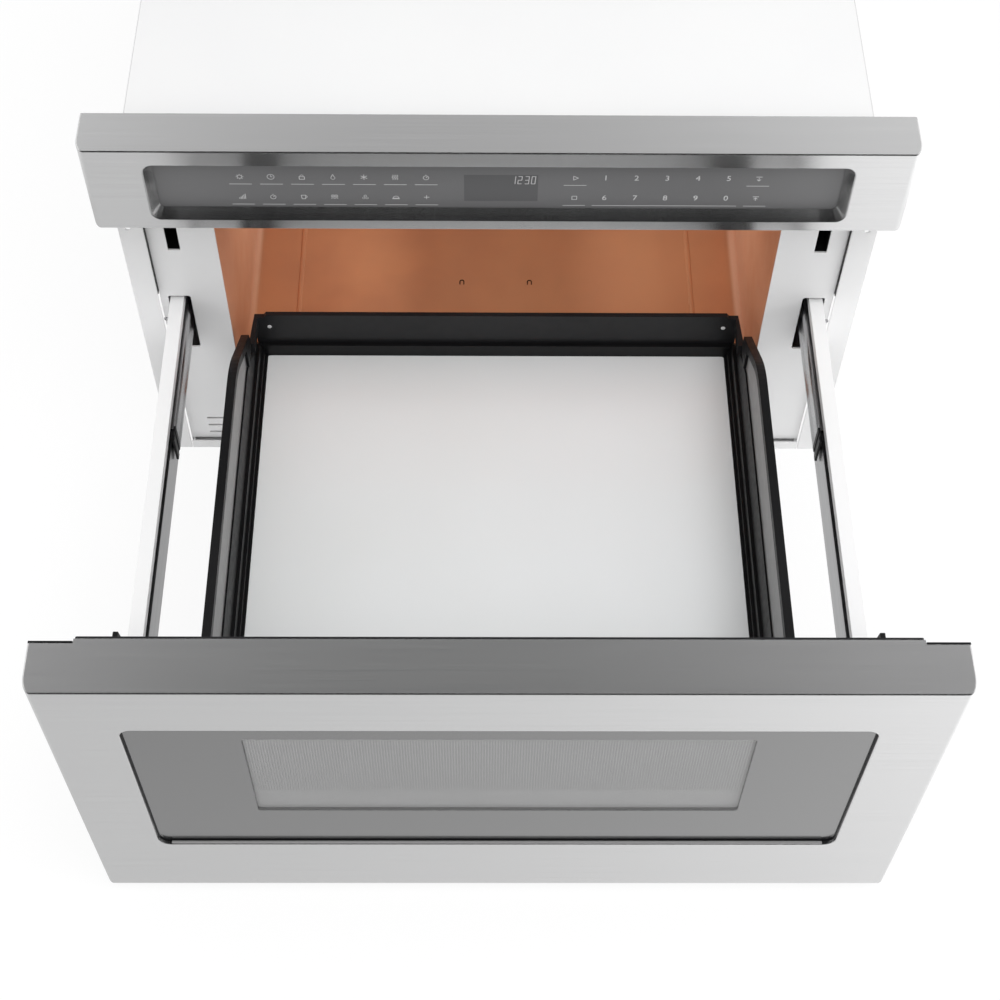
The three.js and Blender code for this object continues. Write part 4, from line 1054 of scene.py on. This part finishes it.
def frame_details():
    """Screws through the front frame, and black strips in the seams beside the flanges that paint the
    shade in the gaps.
    """
    inner = near_and_far("mounting_flange_left")[0][0]
    face = spans("front_frame")[1][0]
    flange_rear = spans("mounting_flange_left")[1][1]
    x, z = FRAME_SCREW
    for word, sign in SIDES:
        screw_head(f"frame_screw_{word}", sign * x, z, face, "body")
        # Painted shade: a black strip fills the gap beside each flange, where there is only shade.
        strip = side(sign, inner - FLANGE_GAP + SEAM_CLEARANCE, inner - SEAM_CLEARANCE)
        gap_shade = block(f"frame_gap_shade_{word}", strip, (flange_rear - SEAM_LAP, face + SEAM_SUNK), SEAM)
        piece(gap_shade, "body", "black_plastic")


cavity_details()
tray_details()
frame_details()


# ---------------------------------------------------------------- rails

CHANNEL_FLANGE = 8
CHANNEL_SHEET = 1.3
CHANNEL_LIP = 8
MEMBER_SHEET = 1.0
DRAWER_WEB = 0.8
MIDDLE_WEB = 1.2
MIDDLE_LOW = 8
RIDGE = 0.9
# Where the two ridges start, level out and end: above the middle member's foot, and below its top.
LOWER_RIDGE = (0, 3, 6, 9)
UPPER_RIDGE = (9, 7, 3, 0)
RAIL_EDGE = 0.25
RAIL_ANGLE = 25


def folded(points, sheet):
    """The section of a bent sheet, from the points along one of its faces."""
    other = []
    for i, point in enumerate(points):
        here = Vector(point)
        before = (here - Vector(points[i - 1])).normalized() if i else None
        after = (Vector(points[i + 1]) - here).normalized() if i + 1 < len(points) else None
        before = before or after
        after = after or before
        normal = Vector((-before.y, before.x)) + Vector((-after.y, after.x))
        other.append(tuple(here + normal * (sheet * 2 / normal.length_squared)))
    return list(points) + other[::-1]


def rail(name, node, body, slot, sign, section, sheet, finish=None):
    """A bent sheet along Y; its section's points are (distance from the centre plane, height)."""
    outline = folded([(x * sign, z) for x, z in section], sheet * sign)
    item = prism(name, "y", outline, spans(node)[1])
    bevel(item, RAIL_EDGE, 2, RAIL_ANGLE)
    piece(item, body, slot, [node], finish)


def ridged(web, outer, low, top):
    """The middle member's section: a channel whose web has two ridges."""
    face = (web, web - RIDGE, web - RIDGE, web)
    lower = [(x, low + z) for x, z in zip(face, LOWER_RIDGE)]
    upper = [(x, top - z) for x, z in zip(face, UPPER_RIDGE)]
    return [(outer, low), *lower, *upper, (outer, top)]


def rails():
    """On each side, the drawer's white channel and its two slide members."""
    for word, sign in SIDES:
        node = f"rail_channel_{word}"
        (lip, outer), (low, top) = near_and_far(node)
        section = [
            (outer - CHANNEL_FLANGE, low), (outer, low), (outer, top),
            (lip, top), (lip, top - CHANNEL_LIP),
        ]
        rail(f"rail_beam_{word}", node, "drawer", "white_paint", sign, section, CHANNEL_SHEET)
        node = f"drawer_slide_{word}"
        (inner, outer), (low, top) = near_and_far(node)
        web = inner + DRAWER_WEB
        section = [(outer, low), (web, low), (web, top), (outer, top)]
        name = f"drawer_rail_{word}"
        # The drawer member takes the darker copy of the slide steel: painted shade.
        rail(name, node, "drawer", "bright_steel", sign, section, -MEMBER_SHEET, "shaded_slide_steel")
        node = f"middle_slide_{word}"
        (inner, outer), (low, top) = near_and_far(node)
        section = ridged(inner + MIDDLE_WEB, outer, low + MIDDLE_LOW, top)
        name = f"middle_rail_{word}"
        rail(name, node, f"middle_slide_{word[0]}", "bright_steel", sign, section, -MEMBER_SHEET)


rails()


# ---------------------------------------------------------------- studio and camera

# The camera as it was fitted to the photograph: sensor and focal length in millimetres, the latter from
# its pixels in the picture, angles in degrees and the place in metres.
SENSOR = 36.0
PICTURE_PIXELS = 1000
FOCAL_PIXELS = 1799.477
FOCAL = FOCAL_PIXELS / PICTURE_PIXELS * SENSOR
PITCH = 56.439
YAW = 1.0671
ROLL = 1.0305
CAMERA_PLACE = (-0.0125228, -1.2290684, 1.3483698)
CLIP_END = 50


def make_camera():
    pitch, yaw, roll = (math.radians(a) for a in (PITCH, YAW, ROLL))
    forward = Vector((
        math.sin(yaw) * math.cos(pitch),
        math.cos(yaw) * math.cos(pitch),
        -math.sin(pitch),
    ))
    level = forward.cross(Vector((0, 0, 1))).normalized()
    above = level.cross(forward)
    right = level * math.cos(roll) + above * math.sin(roll)
    up = above * math.cos(roll) - level * math.sin(roll)
    data = bpy.data.cameras.new("camera")
    data.sensor_width = SENSOR
    data.lens = FOCAL
    data.clip_end = CLIP_END
    camera = bpy.data.objects.new("camera", data)
    bpy.context.scene.collection.objects.link(camera)
    pose = camera.matrix_world.copy()
    for row in range(3):
        pose[row][0] = right[row]
        pose[row][1] = up[row]
        pose[row][2] = -forward[row]
        pose[row][3] = CAMERA_PLACE[row]
    camera.matrix_world = pose
    bpy.context.scene.camera = camera


def calculate(tree, operation, *values):
    """A Math node's result; each value is a number or a socket."""
    made = tree.nodes.new("ShaderNodeMath")
    made.operation = operation
    for socket, value in zip(made.inputs, values):
        if isinstance(value, (int, float)):
            socket.default_value = value
        else:
            tree.links.new(value, socket)
    return made.outputs[0]


def mixed(tree, share, first, second):
    """The first shader where the share is 0, and the second where it is 1."""
    mix = tree.nodes.new("ShaderNodeMixShader")
    for source, socket in zip((share, first, second), mix.inputs):
        tree.links.new(source, socket)
    return mix.outputs["Shader"]


def seen_directly(tree):
    """1 on camera, glossy and transmission rays, else 0."""
    paths = tree.nodes.new("ShaderNodeLightPath")
    total = paths.outputs["Is Camera Ray"]
    for name in ("Is Glossy Ray", "Is Transmission Ray"):
        total = calculate(tree, "MAXIMUM", total, paths.outputs[name])
    return total


# How bright the surroundings are to matt surfaces.
FILL = 0.72
# How bright the room looks in reflections, from the horizon to straight above.
ROOM = ((0.0, 0.85), (0.55, 1.0), (0.7, 1.6), (0.78, 0.36), (0.865, 0.04), (0.94, 0.03), (1.0, 0.02))
# How much brighter it is towards both sides and towards the right, and the most that this comes to.
SIDE_GLOW = 7.0
RIGHT_GLOW = 0.5
GLOW_LIMIT = 1.4
# From where to where along Y the dark front fades, and what it keeps of the light.
DARK_FRONT = (-0.3, 0.3)
FRONT_SHARE = 0.04


def white_light(tree, strength=1.0):
    light = tree.nodes.new("ShaderNodeBackground")
    light.inputs["Color"].default_value = (1, 1, 1, 1)
    light.inputs["Strength"].default_value = strength
    return light.outputs["Background"]


def room_light(tree):
    """The room that reflections show."""
    place = tree.nodes.new("ShaderNodeTexCoord")
    split = tree.nodes.new("ShaderNodeSeparateXYZ")
    tree.links.new(place.outputs["Generated"], split.inputs["Vector"])
    ramp = tree.nodes.new("ShaderNodeValToRGB")
    tree.links.new(split.outputs["Z"], ramp.inputs["Fac"])
    points = ramp.color_ramp.elements
    while len(points) < len(ROOM):
        points.new(1.0)
    for point, (height, level) in zip(points, ROOM):
        point.position = height
        point.color = (level, level, level, 1)
    x = split.outputs["X"]
    sides = calculate(tree, "MULTIPLY_ADD", calculate(tree, "MULTIPLY", x, x), SIDE_GLOW, 1.0)
    glow = calculate(tree, "MULTIPLY_ADD", x, RIGHT_GLOW, sides)
    glow = calculate(tree, "MINIMUM", glow, GLOW_LIMIT)
    front = tree.nodes.new("ShaderNodeMapRange")
    front.inputs["From Min"].default_value = DARK_FRONT[0]
    front.inputs["From Max"].default_value = DARK_FRONT[1]
    front.inputs["To Min"].default_value = FRONT_SHARE
    tree.links.new(split.outputs["Y"], front.inputs["Value"])
    light = tree.nodes.new("ShaderNodeBackground")
    tree.links.new(ramp.outputs["Color"], light.inputs["Color"])
    strength = calculate(tree, "MULTIPLY", glow, front.outputs["Result"])
    tree.links.new(strength, light.inputs["Strength"])
    return light.outputs["Background"]


def make_world():
    """Even light for matt surfaces, a room for reflections and plain white behind everything."""
    world = bpy.data.worlds.new("studio")
    bpy.context.scene.world = world
    world.use_nodes = True
    tree = world.node_tree
    tree.nodes.clear()
    around = mixed(tree, seen_directly(tree), white_light(tree, FILL), room_light(tree))
    paths = tree.nodes.new("ShaderNodeLightPath")
    surface = mixed(tree, paths.outputs["Is Camera Ray"], around, white_light(tree))
    output = tree.nodes.new("ShaderNodeOutputWorld")
    tree.links.new(surface, output.inputs["Surface"])


FLOOR_HALF = 8
FLOOR_COLOUR = (0.95, 0.95, 0.95)
# The floor's own light: its share on all rays, and what is added on those that see it directly.
GLOW_SHARE = 0.36
DIRECT_SHARE = 0.5
# How far from the middle the brightness changes, in metres.
FLOOR_REACH = 0.6
# Half of the brightness on the left, in the middle and on the right.
FLOOR_SLOPE = (0.43, 0.525, 0.82)


def floor_glow(finish):
    """The floor's brightness: plain to the camera, brighter on the right in reflections."""
    paths = finish.node("ShaderNodeLightPath")
    split = finish.node("ShaderNodeSeparateXYZ")
    finish.link(finish.place, split.inputs["Vector"])
    slope = finish.node("ShaderNodeFloatCurve")
    across = finish.between(split.outputs["X"], 0, 1, -FLOOR_REACH, FLOOR_REACH)
    finish.link(across, slope.inputs["Value"])
    left, middle, right = FLOOR_SLOPE
    points = slope.mapping.curves[0].points
    points[0].location = (0, left)
    points[1].location = (1, right)
    points.new(0.5, middle)
    slope.mapping.update()
    reflected, plain = NUMBERS
    pick = finish.node("ShaderNodeMix", data_type="FLOAT")
    finish.link(paths.outputs["Is Camera Ray"], pick.inputs[FACTOR])
    finish.link(finish.between(slope.outputs["Value"], 0, 2, 0, 1), pick.inputs[reflected])
    pick.inputs[plain].default_value = 1.0
    return pick.outputs[MIXED_NUMBER]


def make_floor():
    size = FLOOR_HALF
    data = bpy.data.meshes.new("floor")
    corners = [(-size, -size, 0), (size, -size, 0), (size, size, 0), (-size, size, 0)]
    data.from_pydata(corners, [], [(0, 1, 2, 3)])
    floor = bpy.data.objects.new("floor", data)
    bpy.context.scene.collection.objects.link(floor)
    finish = Finish("floor", FLOOR_COLOUR, 0.9)
    tree = finish.tree
    glow = finish.node("ShaderNodeEmission")
    finish.link(floor_glow(finish), glow.inputs["Strength"])
    share = calculate(tree, "MULTIPLY_ADD", seen_directly(tree), DIRECT_SHARE, GLOW_SHARE)
    surface = mixed(tree, share, finish.shader.outputs["BSDF"], glow.outputs["Emission"])
    finish.link(surface, tree.nodes["Material Output"].inputs["Surface"])
    data.materials.append(finish.material)


# Each lamp's name, place, target, size and power, in metres and watts.
LAMPS = (
    ("overhead", (0.4, -1.2, 2.4), (0, -0.4, 0.2), (1.8, 1.4), 34),
    ("left_side", (-2.2, -0.9, 0.9), (0, -0.4, 0.1), (1.4, 1.0), 9),
    ("right_side", (2.2, -0.9, 0.9), (0, -0.4, 0.1), (1.4, 1.0), 11.5),
    ("cavity_light", (0.0, -0.08, 0.27), (0, -0.02, 0.0), (0.34, 0.2), 0.34),
    ("cavity_side_light", (-0.1, -0.1, 0.2), (-0.22, -0.1, 0.16), (0.16, 0.08), 0.13),
    ("cavity_side_light", (0.1, -0.1, 0.2), (0.22, -0.1, 0.16), (0.16, 0.08), 0.13),
)


def make_lamp(name, place, target, size, power):
    """A rectangular lamp that lights surfaces and isn't seen itself."""
    data = bpy.data.lights.new(name, "AREA")
    data.shape = "RECTANGLE"
    data.size = size[0]
    data.size_y = size[1]
    data.energy = power
    lamp = bpy.data.objects.new(name, data)
    lamp.location = place
    direction = Vector(target) - Vector(place)
    lamp.rotation_euler = direction.to_track_quat("-Z", "Y").to_euler()
    lamp.visible_glossy = False
    lamp.visible_camera = False
    bpy.context.scene.collection.objects.link(lamp)


make_camera()
make_world()
make_floor()
for lamp in LAMPS:
    make_lamp(*lamp)

bpy.context.scene.view_settings.view_transform = "Standard"
